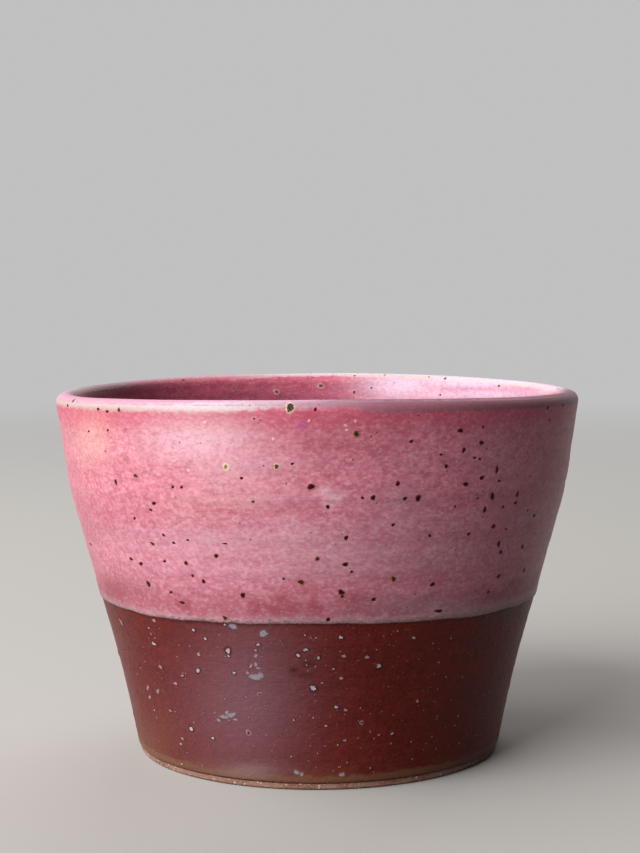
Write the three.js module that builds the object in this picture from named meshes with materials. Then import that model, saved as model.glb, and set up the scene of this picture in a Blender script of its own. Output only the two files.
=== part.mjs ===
// A wheel-thrown stoneware bowl: a flaring wall with a soft shoulder, a rounded lip and a turned foot.
//
// Lengths are in millimetres. The bowl stands on the plane z = 0, the wheel's axis is z, and the
// side that faces the viewer is -y.
//
// A fired bowl can't be taken apart. Its parts are the clay and the coats of glaze laid on it: an
// iron-red coat on the lower wall, a pink coat that laps over the red one's feathered top edge and
// runs on over the lip, and a pink liner poured inside. Each coat is built from the very skin it
// lies on, so the parts meet face to face.
import * as THREE from "three";
import { mergeGeometries } from "three/addons/utils/BufferGeometryUtils.js";

// The clay under its glaze
const HEIGHT = 107.7; // from the table to the crest of the lip
const LIP_DIAMETER = 155;
const FOOT_DIAMETER = 107.6;
const WALL_AT_LIP = 5.1;
const WALL_AT_FOOT = 6.6;
const FLOOR_THICKNESS = 6.2;
const FLOOR_DISH = 1.6; // how much lower the middle of the floor lies
const INNER_CORNER = 18; // how far the rounded inner corner reaches in, and up

// The outline of the wall: flare and foot are set from below, the rest hangs from the lip
const FLARE_HEIGHT = 22;
const FLARE_OUTSET = 4.5; // beyond the foot's radius
const BELLY_DROP = 44; // below the crest of the lip
const BELLY_INSET = 8; // within the lip's radius
const SHOULDER_DROP = 27.5;
const SHOULDER_INSET = 3.75;
const NECK_DROP = 12.5;
const NECK_INSET = 1.6;

// The lip's section is two quarter ellipses that meet at its crest
const LIP_EDGE_DROP = 2.3; // from the crest down to the widest circle
const LIP_CREST_INSET = 2.7; // from the widest circle in to the crest
const LIP_INNER_DROP = 3.6; // from the crest down to where the inner wall starts

// The turned foot: a flat ring round a shallow recess
const FOOT_RING_WIDTH = 9;
const FOOT_BEVEL = 0.5;
const RECESS_DEPTH = 2.8;
const RECESS_SLOPE = 2.2; // how far the ring's inner side leans in
const RECESS_DOME = 0.6; // how much higher the middle of the recess lies

// The glaze
const COAT = 0.4; // thickness of each coat
const BEAD = 1.2; // height over which a coat's lower edge rounds up to its full thickness
const BARE_FOOT = 1.9; // height of the bare clay below the red coat
const DIP_LINE = 46.4; // mean height of the pink coat's lower edge
const DIP_TILT = 1.8; // how much higher it runs on the viewer's side
const DIP_WAVE = 0.3;
const DIP_WAVES = 5;
const LAP = 7; // how far the red coat runs up under the pink one

const RIM_SADDLE = 0.82; // how far the lip sank at its sides and rose at its front and back

const FACETS = 52; // round the wheel's axis

const footRadius = FOOT_DIAMETER / 2;
const lipRadius = LIP_DIAMETER / 2;
const crestRadius = lipRadius - LIP_CREST_INSET;
const outerTop = HEIGHT - LIP_EDGE_DROP;
const innerTop = HEIGHT - LIP_INNER_DROP;
const lapTop = DIP_LINE + LAP;
const recessTop = RECESS_DEPTH + RECESS_DOME;
const floorMiddle = recessTop + FLOOR_THICKNESS;
const floorEdge = floorMiddle + FLOOR_DISH;
const cornerTop = floorEdge + INNER_CORNER;

// A smooth curve of radius against height through stations of [height, radius].
function smoothThrough(stations) {
  const last = stations.length - 1;
  const span = stations.slice(1).map(([z], i) => z - stations[i][0]);
  const rise = stations.slice(1).map(([, r], i) => (r - stations[i][1]) / span[i]);
  const lean = rise.slice(1).map((next, i) => (rise[i] * span[i + 1] + next * span[i]) / (span[i] + span[i + 1]));
  lean.unshift(1.5 * rise[0] - 0.5 * lean[0]);
  lean.push(1.5 * rise[last - 1] - 0.5 * lean[last - 1]);
  return (z) => {
    const above = stations.findIndex(([height]) => height > z);
    const i = (above < 1 ? (above < 0 ? last : 1) : above) - 1;
    const t = (z - stations[i][0]) / span[i];
    const blend = t * t * (3 - 2 * t);
    const bend = lean[i] * t * (1 - t) ** 2 - lean[i + 1] * t * t * (1 - t);
    return THREE.MathUtils.lerp(stations[i][1], stations[i + 1][1], blend) + span[i] * bend;
  };
}

const outerRadius = smoothThrough([
  [0, footRadius],
  [FLARE_HEIGHT, footRadius + FLARE_OUTSET],
  [HEIGHT - BELLY_DROP, lipRadius - BELLY_INSET],
  [HEIGHT - SHOULDER_DROP, lipRadius - SHOULDER_INSET],
  [HEIGHT - NECK_DROP, lipRadius - NECK_INSET],
  [outerTop, lipRadius],
]);

const innerRadius = (z) => outerRadius(z) - THREE.MathUtils.lerp(WALL_AT_FOOT, WALL_AT_LIP, z / innerTop);

// A point of the bowl's half section, which moves with the dip line by the share given as slide.
const point = (r, z, slide = 0) => ({ r, z, slide });

// Even steps from one value to another, leaving out the first.
const steps = (from, to, count) => Array.from({ length: count }, (_, i) => from + ((to - from) * (i + 1)) / count);

// A point on the outer wall. It slides fully between the dip line and the top of the lap, and less
// and less towards the foot and the neck.
function onWall(z) {
  const fromFoot = THREE.MathUtils.smoothstep(z, BARE_FOOT, DIP_LINE);
  const fromNeck = THREE.MathUtils.smoothstep(HEIGHT - z, NECK_DROP, HEIGHT - lapTop);
  return point(outerRadius(z), z, fromFoot * fromNeck);
}

// The clay's skin where glaze covers it, in stretches that each start where the last one ends
const beadTop = BARE_FOOT + BEAD;
const redWall = [BARE_FOOT, ...steps(BARE_FOOT, beadTop, 2), ...steps(beadTop, DIP_LINE, 5)].map(onWall);
const lap = [...steps(DIP_LINE, DIP_LINE + BEAD, 2), ...steps(DIP_LINE + BEAD, lapTop, 2)].map(onWall);
const pinkWall = [...steps(lapTop, HEIGHT - NECK_DROP, 4), ...steps(HEIGHT - NECK_DROP, outerTop, 3)].map(onWall);
const lip = roundedLip();
const inside = steps(innerTop, cornerTop, 6).map((z) => point(innerRadius(z), z));
const floor = roundedFloor();
const skin = [...redWall, ...lap, ...pinkWall, ...lip, ...inside, ...floor];
const dipLineAt = redWall.length - 1;
const lapTopAt = dipLineAt + lap.length;
const lipEndAt = lapTopAt + pinkWall.length + lip.length;
const middleAt = skin.length - 1;

function roundedLip() {
  const innerReach = crestRadius - innerRadius(innerTop);
  const outerHalf = steps(0, Math.PI / 2, 3).map((a) =>
    point(crestRadius + LIP_CREST_INSET * Math.cos(a), outerTop + LIP_EDGE_DROP * Math.sin(a)),
  );
  const innerHalf = steps(Math.PI / 2, Math.PI, 4).map((a) =>
    point(crestRadius + innerReach * Math.cos(a), innerTop + LIP_INNER_DROP * Math.sin(a)),
  );
  return [...outerHalf, ...innerHalf];
}

// The rounded inner corner and the floor, which falls gently to the middle.
function roundedFloor() {
  const flatRadius = innerRadius(floorEdge) - INNER_CORNER;
  const corner = new THREE.QuadraticBezierCurve(
    new THREE.Vector2(innerRadius(cornerTop), cornerTop),
    new THREE.Vector2(innerRadius(floorEdge), floorEdge),
    new THREE.Vector2(flatRadius, floorEdge),
  );
  const flat = steps(flatRadius, 0, 5).map((r) =>
    point(r, floorMiddle + FLOOR_DISH * THREE.MathUtils.smoothstep(r, 0, flatRadius)),
  );
  return [...corner.getPoints(6).slice(1).map((v) => point(v.x, v.y)), ...flat];
}

// The skin raised off the clay by a thickness at each of its points, square to the clay.
function raised(thicknessAt) {
  return skin.map((here, i) => {
    const before = skin[Math.max(0, i - 1)];
    const after = skin[Math.min(middleAt, i + 1)];
    const along = new THREE.Vector2(after.r - before.r, after.z - before.z).normalize();
    const thickness = thicknessAt(i);
    const r = i === middleAt ? 0 : here.r + thickness * along.y;
    return point(r, here.z - thickness * along.x, here.slide);
  });
}

// How much of its full thickness a coat has at a height above its lower edge, which is rounded.
const bead = (above) => Math.sqrt(1 - (1 - Math.min(1, above / BEAD)) ** 2);

// The red coat is rounded at the foot and feathers out under the pink one.
function redThickness(i) {
  if (i > lapTopAt) return 0;
  return COAT * Math.min(bead(skin[i].z - BARE_FOOT), (lapTop - skin[i].z) / LAP);
}

function pinkThickness(i) {
  if (i < dipLineAt) return 0;
  return i > lapTopAt ? COAT : COAT * bead(skin[i].z - DIP_LINE);
}

const overClay = raised(() => 0);
const overRed = raised(redThickness);
const overPink = raised((i) => redThickness(i) + pinkThickness(i));

// Where a point of the section lies at an angle from the viewer's side. The tilted, wavy dip line
// slides its point along the wall, and the rim's saddle lifts or sinks the wall the more the
// higher it is.
function settled({ r, z, slide }, turn) {
  const rise = slide * (DIP_TILT * Math.cos(turn) + DIP_WAVE * Math.cos(DIP_WAVES * turn));
  const reach = r + (rise === 0 ? 0 : outerRadius(z + rise) - outerRadius(z));
  const lift = RIM_SADDLE * Math.cos(2 * turn) * ((z / HEIGHT) * (r / lipRadius)) ** 2;
  return [reach * Math.sin(turn), -reach * Math.cos(turn), z + rise + lift];
}

// Turns a run of section points round the axis. Runs are always given the way the skin runs, so
// that a coat has the same facets as what it lies on; inwards turns them to face the other way.
function turned(run, inwards = false) {
  const geometry = new THREE.LatheGeometry(run.map(({ r, z }) => new THREE.Vector2(r, z)), FACETS);
  const place = geometry.getAttribute("position");
  for (let i = 0; i < place.count; i++) {
    const facet = Math.floor(i / run.length) % FACETS;
    place.setXYZ(i, ...settled(run[i % run.length], (2 * Math.PI * facet) / FACETS));
  }
  if (inwards) geometry.getIndex().array.reverse();
  geometry.computeVertexNormals();
  return geometry;
}

function piece(name, shells, color, roughness) {
  const material = new THREE.MeshStandardMaterial({ color, roughness, metalness: 0 });
  const mesh = new THREE.Mesh(mergeGeometries(shells), material);
  mesh.name = name;
  return mesh;
}

// The shells round a coat that covers a stretch of skin: its face, its back on what lies below,
// and a wall at each end where the two don't meet.
function coatShells(below, above, from, to) {
  const shells = [turned(above.slice(from, to + 1)), turned(below.slice(from, to + 1), true)];
  for (const end of [from, to]) {
    const open = above[end].r !== below[end].r && above[end].r > 0;
    if (open) shells.push(turned([below[end], above[end]], end === to));
  }
  return shells;
}

function clayBody() {
  const ringInner = footRadius - FOOT_RING_WIDTH;
  const recessEdge = ringInner - RECESS_SLOPE;
  const underside = [
    point(0, recessTop),
    ...steps(0, recessEdge, 3).map((r) => point(r, recessTop - RECESS_DOME * (r / recessEdge) ** 2)),
    point(ringInner - FOOT_BEVEL * (RECESS_SLOPE / RECESS_DEPTH), FOOT_BEVEL),
    point(ringInner + FOOT_BEVEL, 0),
    point(footRadius - FOOT_BEVEL, 0),
    point(outerRadius(FOOT_BEVEL), FOOT_BEVEL),
  ];
  return piece("clay_body", [turned([...underside, ...overClay])], 0x9f7b69, 0.9);
}

function ironRedGlaze() {
  return piece("iron_red_glaze", coatShells(overClay, overRed, 0, lapTopAt), 0x6a2823, 0.3);
}

function pinkGlazeOutside() {
  return piece("pink_glaze_outside", coatShells(overRed, overPink, dipLineAt, lipEndAt), 0xc9717f, 0.35);
}

function pinkGlazeLiner() {
  return piece("pink_glaze_liner", coatShells(overClay, overPink, lipEndAt, middleAt), 0xc9717f, 0.35);
}

const bowl = new THREE.Group();
bowl.add(clayBody(), ironRedGlaze(), pinkGlazeOutside(), pinkGlazeLiner());

export default bowl;
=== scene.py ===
"""A studio pottery bowl in stoneware, with a pink glaze lapped over an iron-red one.

Lengths are in metres. The bowl stands on z = 0 and the wheel's axis is z. An angle round that axis
is called a turn: turn 0 faces -y, the side that the photograph shows, and it grows towards +x.

Every surface comes from one skin, the half section of the clay. It runs from the foot up the wall,
over the lip and down inside to the middle of the floor, and a place on the bowl is a length along
the skin together with a turn. Glaze coats, specks and blisters are the skin lifted square to it.
"""

import logging
import math
from collections.abc import Callable, Mapping, Sequence
from dataclasses import dataclass
from enum import Enum

import bpy
import numpy as np
from mathutils import Matrix


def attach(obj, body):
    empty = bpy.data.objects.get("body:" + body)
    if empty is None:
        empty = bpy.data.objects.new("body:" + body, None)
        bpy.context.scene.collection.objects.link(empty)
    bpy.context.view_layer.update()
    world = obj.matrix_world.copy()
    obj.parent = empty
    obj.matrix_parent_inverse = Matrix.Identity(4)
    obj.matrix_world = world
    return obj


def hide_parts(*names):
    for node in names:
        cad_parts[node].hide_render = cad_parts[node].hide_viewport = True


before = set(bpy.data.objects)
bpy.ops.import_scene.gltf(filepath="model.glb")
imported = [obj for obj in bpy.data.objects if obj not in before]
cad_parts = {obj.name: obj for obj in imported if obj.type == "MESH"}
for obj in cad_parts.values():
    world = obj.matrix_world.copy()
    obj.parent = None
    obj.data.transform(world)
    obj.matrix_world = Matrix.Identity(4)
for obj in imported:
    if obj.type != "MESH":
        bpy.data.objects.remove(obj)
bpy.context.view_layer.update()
log = logging.getLogger("bowl")

MM = 0.001
FULL_TURN = 2 * math.pi
SHARP_FROM = math.radians(50)
SIDE_FADE = 20 * MM


def glaze_color(code: str) -> tuple[float, float, float, float]:
    """Turns a six-digit screen colour into the linear light that shaders take.

    Args:
        code: Red, green and blue as two hexadecimal digits each.

    Returns:
        The linear colour, with an alpha of 1.
    """
    levels = [int(code[i : i + 2], 16) / 255 for i in (0, 2, 4)]
    linear = [v / 12.92 if v <= 0.04045 else ((v + 0.055) / 1.055) ** 2.4 for v in levels]
    return (*linear, 1.0)


def smoothstep(value: np.ndarray, low: float, high: float) -> np.ndarray:
    """Gives a share that rises from 0 at low to 1 at high along 3t^2 - 2t^3."""
    t = np.clip((value - low) / (high - low), 0, 1)
    return t * t * (3 - 2 * t)


def smooth_through(stations: Sequence[tuple[float, float]]) -> Callable[[np.ndarray], np.ndarray]:
    """Makes a smooth curve of radius against height through stations.

    The lean at each station is the mean of the slopes on both sides, weighted by the other side's
    span, and a cubic joins two stations with their leans.

    Args:
        stations: Pairs of height and radius, from the lowest up.

    Returns:
        A function from heights to radii.
    """
    height, radius = np.array(stations).T
    span = np.diff(height)
    rise = np.diff(radius) / span
    lean = np.empty(len(height))
    lean[1:-1] = (rise[:-1] * span[1:] + rise[1:] * span[:-1]) / (span[:-1] + span[1:])
    lean[0] = 1.5 * rise[0] - 0.5 * lean[1]
    lean[-1] = 1.5 * rise[-1] - 0.5 * lean[-2]

    def curve(z: np.ndarray) -> np.ndarray:
        """Gives the radius at each height.

        Args:
            z: Heights.

        Returns:
            Radii.
        """
        i = np.clip(np.searchsorted(height, z, side="right") - 1, 0, len(span) - 1)
        t = (z - height[i]) / span[i]
        bend = lean[i] * t * (1 - t) ** 2 - lean[i + 1] * t * t * (1 - t)
        return radius[i] + (radius[i + 1] - radius[i]) * t * t * (3 - 2 * t) + span[i] * bend

    return curve

def shown(name: str, data: bpy.types.ID) -> bpy.types.Object:
    """Makes an object from its data and puts it into the scene.

    Args:
        name: The object's name.
        data: Its mesh, lamp or camera.

    Returns:
        The object.
    """
    thing = bpy.data.objects.new(name, data)
    bpy.context.scene.collection.objects.link(thing)
    return thing


def standing(x_way: np.ndarray, y_way: np.ndarray, z_way: np.ndarray, place: np.ndarray) -> Matrix:
    """Turns a thing so that its x, y and z point three ways, and puts it at a place.

    Args:
        x_way: Where its x points, one long.
        y_way: Where its y points, one long.
        z_way: Where its z points, one long.
        place: Where it stands.

    Returns:
        Its matrix.
    """
    turned = Matrix((x_way, y_way, z_way)).transposed().to_4x4()
    turned.translation = place
    return turned


@dataclass(frozen=True)
class BowlForm:
    """The bowl's driving sizes, the same as the solids have."""

    height: float = 107.7 * MM
    lip_diameter: float = 155 * MM
    foot_diameter: float = 107.6 * MM
    wall_at_lip: float = 5.1 * MM
    wall_at_foot: float = 6.6 * MM
    floor_thickness: float = 6.2 * MM
    floor_dish: float = 1.6 * MM
    inner_corner: float = 18 * MM

    flare_height: float = 22 * MM
    flare_outset: float = 4.5 * MM
    belly_drop: float = 44 * MM
    belly_inset: float = 8 * MM
    shoulder_drop: float = 27.5 * MM
    shoulder_inset: float = 3.75 * MM
    neck_drop: float = 12.5 * MM
    neck_inset: float = 1.6 * MM

    lip_edge_drop: float = 2.3 * MM
    lip_crest_inset: float = 2.7 * MM
    lip_inner_drop: float = 3.6 * MM

    foot_ring_width: float = 9 * MM
    foot_bevel: float = 0.5 * MM
    recess_depth: float = 2.8 * MM
    recess_slope: float = 2.2 * MM
    recess_dome: float = 0.6 * MM

    coat: float = 0.4 * MM
    bead: float = 1.2 * MM
    bare_foot: float = 1.9 * MM
    dip_line: float = 46.4 * MM
    dip_tilt: float = 1.8 * MM
    dip_wave: float = 0.3 * MM
    dip_waves: int = 5
    lap: float = 7 * MM
    rim_saddle: float = 0.82 * MM

    @property
    def lip_radius(self) -> float:
        """The radius of the widest circle."""
        return self.lip_diameter / 2

    @property
    def foot_radius(self) -> float:
        """The radius of the foot where it meets the table."""
        return self.foot_diameter / 2

    @property
    def lap_top(self) -> float:
        """The height at which the red coat runs out under the pink one."""
        return self.dip_line + self.lap

    @property
    def recess_top(self) -> float:
        """The height of the recess under the foot at its middle."""
        return self.recess_depth + self.recess_dome

    @property
    def floor_middle(self) -> float:
        """The height of the floor inside, at its middle."""
        return self.recess_top + self.floor_thickness


@dataclass(frozen=True)
class Handwork:
    """What throwing, turning and dipping by hand leave on the form."""

    ridge_height: float = 0.045 * MM
    ridge_pitch: float = 10.5 * MM
    ripple_height: float = 0.018 * MM
    ripple_pitch: float = 5.3 * MM
    ripple_sway: float = 0.9
    turned_share: float = 0.3
    turned_band: tuple[float, float] = (30 * MM, 62 * MM)
    foot_fade: tuple[float, float] = (1 * MM, 8 * MM)
    lip_fade: float = 9 * MM
    shoulder_line_depth: float = 0.07 * MM
    shoulder_line_width: float = 0.9 * MM
    shoulder_line_tilt: float = 0.5 * MM
    out_of_round: float = 0.16 * MM
    out_of_round_heights: tuple[float, float] = (4 * MM, 70 * MM)
    crest_fade: float = 10 * MM
    lip_waver: float = 0.13 * MM
    lip_band: float = 12 * MM
    inner_ridge_height: float = 0.16 * MM
    inner_ridge_pitch: float = 8.4 * MM
    spiral_height: float = 0.34 * MM
    spiral_pitch: float = 7.2 * MM
    button_height: float = 0.5 * MM
    button_radius: float = 4.5 * MM
    dip_waver: float = 0.2 * MM
    dip_waver_counts: tuple[int, int] = (7, 43)
    dip_waver_fall: float = 0.9
    dip_waver_calming: float = 1.4
    dip_waver_seed: int = 11
    softening: float = 0.45 * MM


class Skin:
    """The clay's half section by length along it, and where that lies round the wheel's axis."""

    STEP = 0.05 * MM
    SAMPLES = 600

    def __init__(self, form: BowlForm, hand: Handwork) -> None:
        """Works out the section once, as arrays over the length along it.

        Args:
            form: The driving sizes.
            hand: The marks of handwork.
        """
        self.form = form
        self.hand = hand
        self.outer = smooth_through(
            [
                (0.0, form.foot_radius),
                (form.flare_height, form.foot_radius + form.flare_outset),
                (form.height - form.belly_drop, form.lip_radius - form.belly_inset),
                (form.height - form.shoulder_drop, form.lip_radius - form.shoulder_inset),
                (form.height - form.neck_drop, form.lip_radius - form.neck_inset),
                (form.height - form.lip_edge_drop, form.lip_radius),
            ]
        )
        stretches = self._stretches()
        radius = np.concatenate([r[:-1] for r, _ in stretches] + [stretches[-1][0][-1:]])
        height = np.concatenate([z[:-1] for _, z in stretches] + [stretches[-1][1][-1:]])
        length = np.concatenate([[0.0], np.cumsum(np.hypot(np.diff(radius), np.diff(height)))])
        ends = length[np.cumsum([len(r) - 1 for r, _ in stretches])]
        self.wall_top, self.crest, self.lip_end, self.corner_top, self.floor_start, self.middle = ends
        self.length = np.linspace(0, self.middle, int(self.middle / self.STEP) + 1)
        self.radius = self._softened(np.interp(self.length, length, radius))
        self.height = self._softened(np.interp(self.length, length, height))
        along_r, along_z = np.gradient(self.radius), np.gradient(self.height)
        reach = np.hypot(along_r, along_z)
        self.out_r, self.out_z = along_z / reach, -along_r / reach
        on_wall = smoothstep(self.height, form.bare_foot, form.dip_line)
        below_neck = smoothstep(form.height - self.height, form.neck_drop, form.height - form.lap_top)
        self.slide = np.where(self.length < self.wall_top, on_wall * below_neck, 0.0)
        draw = np.random.default_rng(hand.dip_waver_seed)
        self._waver_counts = np.arange(*hand.dip_waver_counts)
        self._waver_starts = draw.uniform(0, FULL_TURN, len(self._waver_counts))

    def _stretches(self) -> list[tuple[np.ndarray, np.ndarray]]:
        """Gives the section's stretches: wall, both halves of the lip, inner wall, corner, floor.

        Each half of the lip is a quarter ellipse, the corner is a quadratic curve drawn towards
        the place where wall and floor would meet, and the floor falls smoothly to its middle.

        Returns:
            Radii and heights of each stretch.
        """
        form, count = self.form, self.SAMPLES
        wall_top = form.height - form.lip_edge_drop
        inner_top = form.height - form.lip_inner_drop
        crest_radius = form.lip_radius - form.lip_crest_inset
        floor_edge = form.floor_middle + form.floor_dish
        corner_top = floor_edge + form.inner_corner

        def inner(z: np.ndarray) -> np.ndarray:
            """Gives the inner wall's radius, which is the outer one less a tapering wall."""
            wall = form.wall_at_foot + (form.wall_at_lip - form.wall_at_foot) * z / inner_top
            return self.outer(z) - wall

        up = np.linspace(form.foot_bevel, wall_top, 4 * count)
        quarter = np.linspace(0, math.pi / 2, count)
        inner_reach = crest_radius - inner(np.array(inner_top))
        down = np.linspace(inner_top, corner_top, 4 * count)
        flat_radius = inner(np.array(floor_edge)) - form.inner_corner
        t = np.linspace(0, 1, 2 * count)
        bow = np.stack([(1 - t) ** 2, 2 * t * (1 - t), t * t])
        corner_r = np.array([inner(np.array(corner_top)), inner(np.array(floor_edge)), flat_radius]) @ bow
        corner_z = np.array([corner_top, floor_edge, floor_edge]) @ bow
        across = np.linspace(flat_radius, 0, 2 * count)
        dish = form.floor_dish * smoothstep(across, 0, flat_radius)
        return [
            (self.outer(up), up),
            (
                crest_radius + form.lip_crest_inset * np.cos(quarter),
                wall_top + form.lip_edge_drop * np.sin(quarter),
            ),
            (
                crest_radius - inner_reach * np.sin(quarter),
                inner_top + form.lip_inner_drop * np.cos(quarter),
            ),
            (inner(down), down),
            (corner_r, corner_z),
            (across, form.floor_middle + dish),
        ]

    def _softened(self, values: np.ndarray) -> np.ndarray:
        """Rounds the section's slight corners with a bell-shaped running mean.

        Args:
            values: Radii or heights at even steps.

        Returns:
            The same values, softened, with both ends where they were.
        """
        width = self.hand.softening / self.STEP
        reach = int(4 * width)
        bell = np.exp(-0.5 * (np.arange(-reach, reach + 1) / width) ** 2)
        before = 2 * values[0] - values[reach:0:-1]
        after = 2 * values[-1] - values[-2 : -reach - 2 : -1]
        return np.convolve(np.concatenate([before, values, after]), bell / bell.sum(), "valid")

    def at(self, along: np.ndarray, what: np.ndarray) -> np.ndarray:
        """Reads one of the section's arrays at lengths along it."""
        return np.interp(along, self.length, what)

    def at_height(self, z: float) -> float:
        """Gives the length along the skin at which the outer wall has a height."""
        wall = self.length <= self.wall_top
        return float(np.interp(z, self.height[wall], self.length[wall]))

    def waver(self, turn: np.ndarray) -> np.ndarray:
        """Gives the dip line's small unevenness: many waves whose height falls with their count.

        Args:
            turn: Angles round the axis.

        Returns:
            How much higher the line lies at each angle.
        """
        hand = self.hand
        share = (self._waver_counts[0] / self._waver_counts) ** hand.dip_waver_fall
        waves = np.cos(np.multiply.outer(turn, self._waver_counts) + self._waver_starts)
        return hand.dip_waver * (waves @ share) / math.sqrt(share @ share) / hand.dip_waver_calming

    def relief(self, along: np.ndarray, turn: np.ndarray) -> np.ndarray:
        """Gives what handwork adds to the clay, square to the skin.

        Throwing ridges are waves along the skin whose phase follows the turn, so that each is one
        spiral. They are strong inside and on the floor, light on the upper wall and lighter where
        the lower wall was turned. The rim wavers, and the whole is a little out of round. Every
        wave starts at a turn of its own.

        Args:
            along: Lengths along the skin.
            turn: Angles round the axis.

        Returns:
            The relief at each place.
        """
        form, hand = self.form, self.hand
        outside = smoothstep(along, *hand.foot_fade)
        outside = outside * (1 - smoothstep(along, self.wall_top - hand.lip_fade, self.wall_top))
        turned = 1 - (1 - hand.turned_share) * (1 - smoothstep(along, *hand.turned_band))
        ridge = hand.ridge_height * np.sin(FULL_TURN * along / hand.ridge_pitch - turn + 0.7)
        sway = hand.ripple_sway * np.sin(2 * turn + 1)
        ripple = hand.ripple_height * np.sin(FULL_TURN * along / hand.ripple_pitch - turn + 2.1 + sway)
        shoulder = self.at_height(form.height - form.shoulder_drop)
        line_at = shoulder + hand.shoulder_line_tilt * np.sin(turn + 0.4)
        line = np.exp(-(((along - line_at) / hand.shoulder_line_width) ** 2))
        inside = smoothstep(along, self.lip_end, self.lip_end + hand.lip_fade)
        on_floor = smoothstep(along, self.corner_top, self.floor_start)
        to_middle = self.middle - along
        inner_ridge = hand.inner_ridge_height * np.sin(FULL_TURN * along / hand.inner_ridge_pitch + turn)
        spiral = hand.spiral_height * np.sin(FULL_TURN * to_middle / hand.spiral_pitch + turn + 0.8)
        spiral = spiral * smoothstep(to_middle, hand.button_radius, 2.5 * hand.button_radius)
        button = hand.button_height * np.exp(-((to_middle / hand.button_radius) ** 2))
        near_lip = smoothstep(along, self.wall_top - hand.lip_band, self.crest) * (1 - inside)
        waves = np.sin(3 * turn + 1.1) + 0.5 * np.sin(7 * turn + 0.3) + 0.3 * np.sin(13 * turn)
        rim = hand.lip_waver * waves / 1.8
        raised = smoothstep(self.at(along, self.height), *hand.out_of_round_heights)
        swell = hand.out_of_round * np.cos(3 * turn + 0.8) * raised
        past_crest = np.sign(self.crest - along) * np.minimum(1, np.abs(along - self.crest) / hand.crest_fade)
        return (
            outside * (turned * (ridge + ripple) - hand.shoulder_line_depth * line)
            + inside * ((1 - on_floor) * inner_ridge + on_floor * spiral + button)
            + near_lip * rim
            + swell * past_crest
        )

    def place(self, along: np.ndarray, turn: np.ndarray, lift: np.ndarray | float = 0.0) -> np.ndarray:
        """Gives points of the bowl.

        The section is lifted square to itself by the relief and the lift. The tilted, waved dip
        line then slides it along the outer wall, and the rim's saddle raises or sinks it by the
        cosine of twice the turn, the more the higher and further out it is.

        Args:
            along: Lengths along the skin.
            turn: Angles round the axis, of a shape that fits along.
            lift: How far above the clay, for a glaze coat or a mark on it.

        Returns:
            Points in an array whose last axis holds x, y and z.
        """
        form = self.form
        along, turn = np.broadcast_arrays(along, turn)
        up = lift + self.relief(along, turn)
        radius = self.at(along, self.radius) + up * self.at(along, self.out_r)
        height = self.at(along, self.height) + up * self.at(along, self.out_z)
        dip = form.dip_tilt * np.cos(turn) + form.dip_wave * np.cos(form.dip_waves * turn) + self.waver(turn)
        rise = self.at(along, self.slide) * dip
        reach = radius + np.where(rise != 0, self.outer(height + rise) - self.outer(height), 0.0)
        lifted = (height / form.height) * (radius / form.lip_radius)
        saddle = form.rim_saddle * np.cos(2 * turn) * lifted**2
        return np.stack([reach * np.sin(turn), -reach * np.cos(turn), height + rise + saddle], axis=-1)


class Coats:
    """How thick the glaze lies along the skin."""

    def __init__(self, skin: Skin) -> None:
        """Keeps the skin that the coats lie on.

        Args:
            skin: The skin.
        """
        self.skin = skin
        form = skin.form
        self.red_start = skin.at_height(form.bare_foot)
        self.dip = skin.at_height(form.dip_line)
        self.lap_top = skin.at_height(form.lap_top)

    def _bead(self, above: np.ndarray) -> np.ndarray:
        """Gives a coat's share of its full thickness above its quarter-round lower edge."""
        return np.sqrt(1 - (1 - np.clip(above / self.skin.form.bead, 0, 1)) ** 2)

    def red(self, along: np.ndarray) -> np.ndarray:
        """Gives the red coat's thickness: beaded at the foot, feathered out under the pink coat.

        Args:
            along: Lengths along the skin.

        Returns:
            The thickness at each length.
        """
        form, height = self.skin.form, self.skin.at(along, self.skin.height)
        share = np.minimum(self._bead(height - form.bare_foot), (form.lap_top - height) / form.lap)
        return np.where(along < self.lap_top, form.coat * np.clip(share, 0, 1), 0.0)

    def pink(self, along: np.ndarray) -> np.ndarray:
        """Gives the pink coat's thickness: beaded at the dip line, even above it and inside.

        Args:
            along: Lengths along the skin.

        Returns:
            The thickness at each length.
        """
        form, height = self.skin.form, self.skin.at(along, self.skin.height)
        share = np.where(along < self.skin.crest, self._bead(height - form.dip_line), 1.0)
        return np.where(along > self.dip, form.coat * share, 0.0)

    def both(self, along: np.ndarray) -> np.ndarray:
        """Gives the height of the outermost glaze above the clay."""
        return self.red(along) + self.pink(along)


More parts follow.
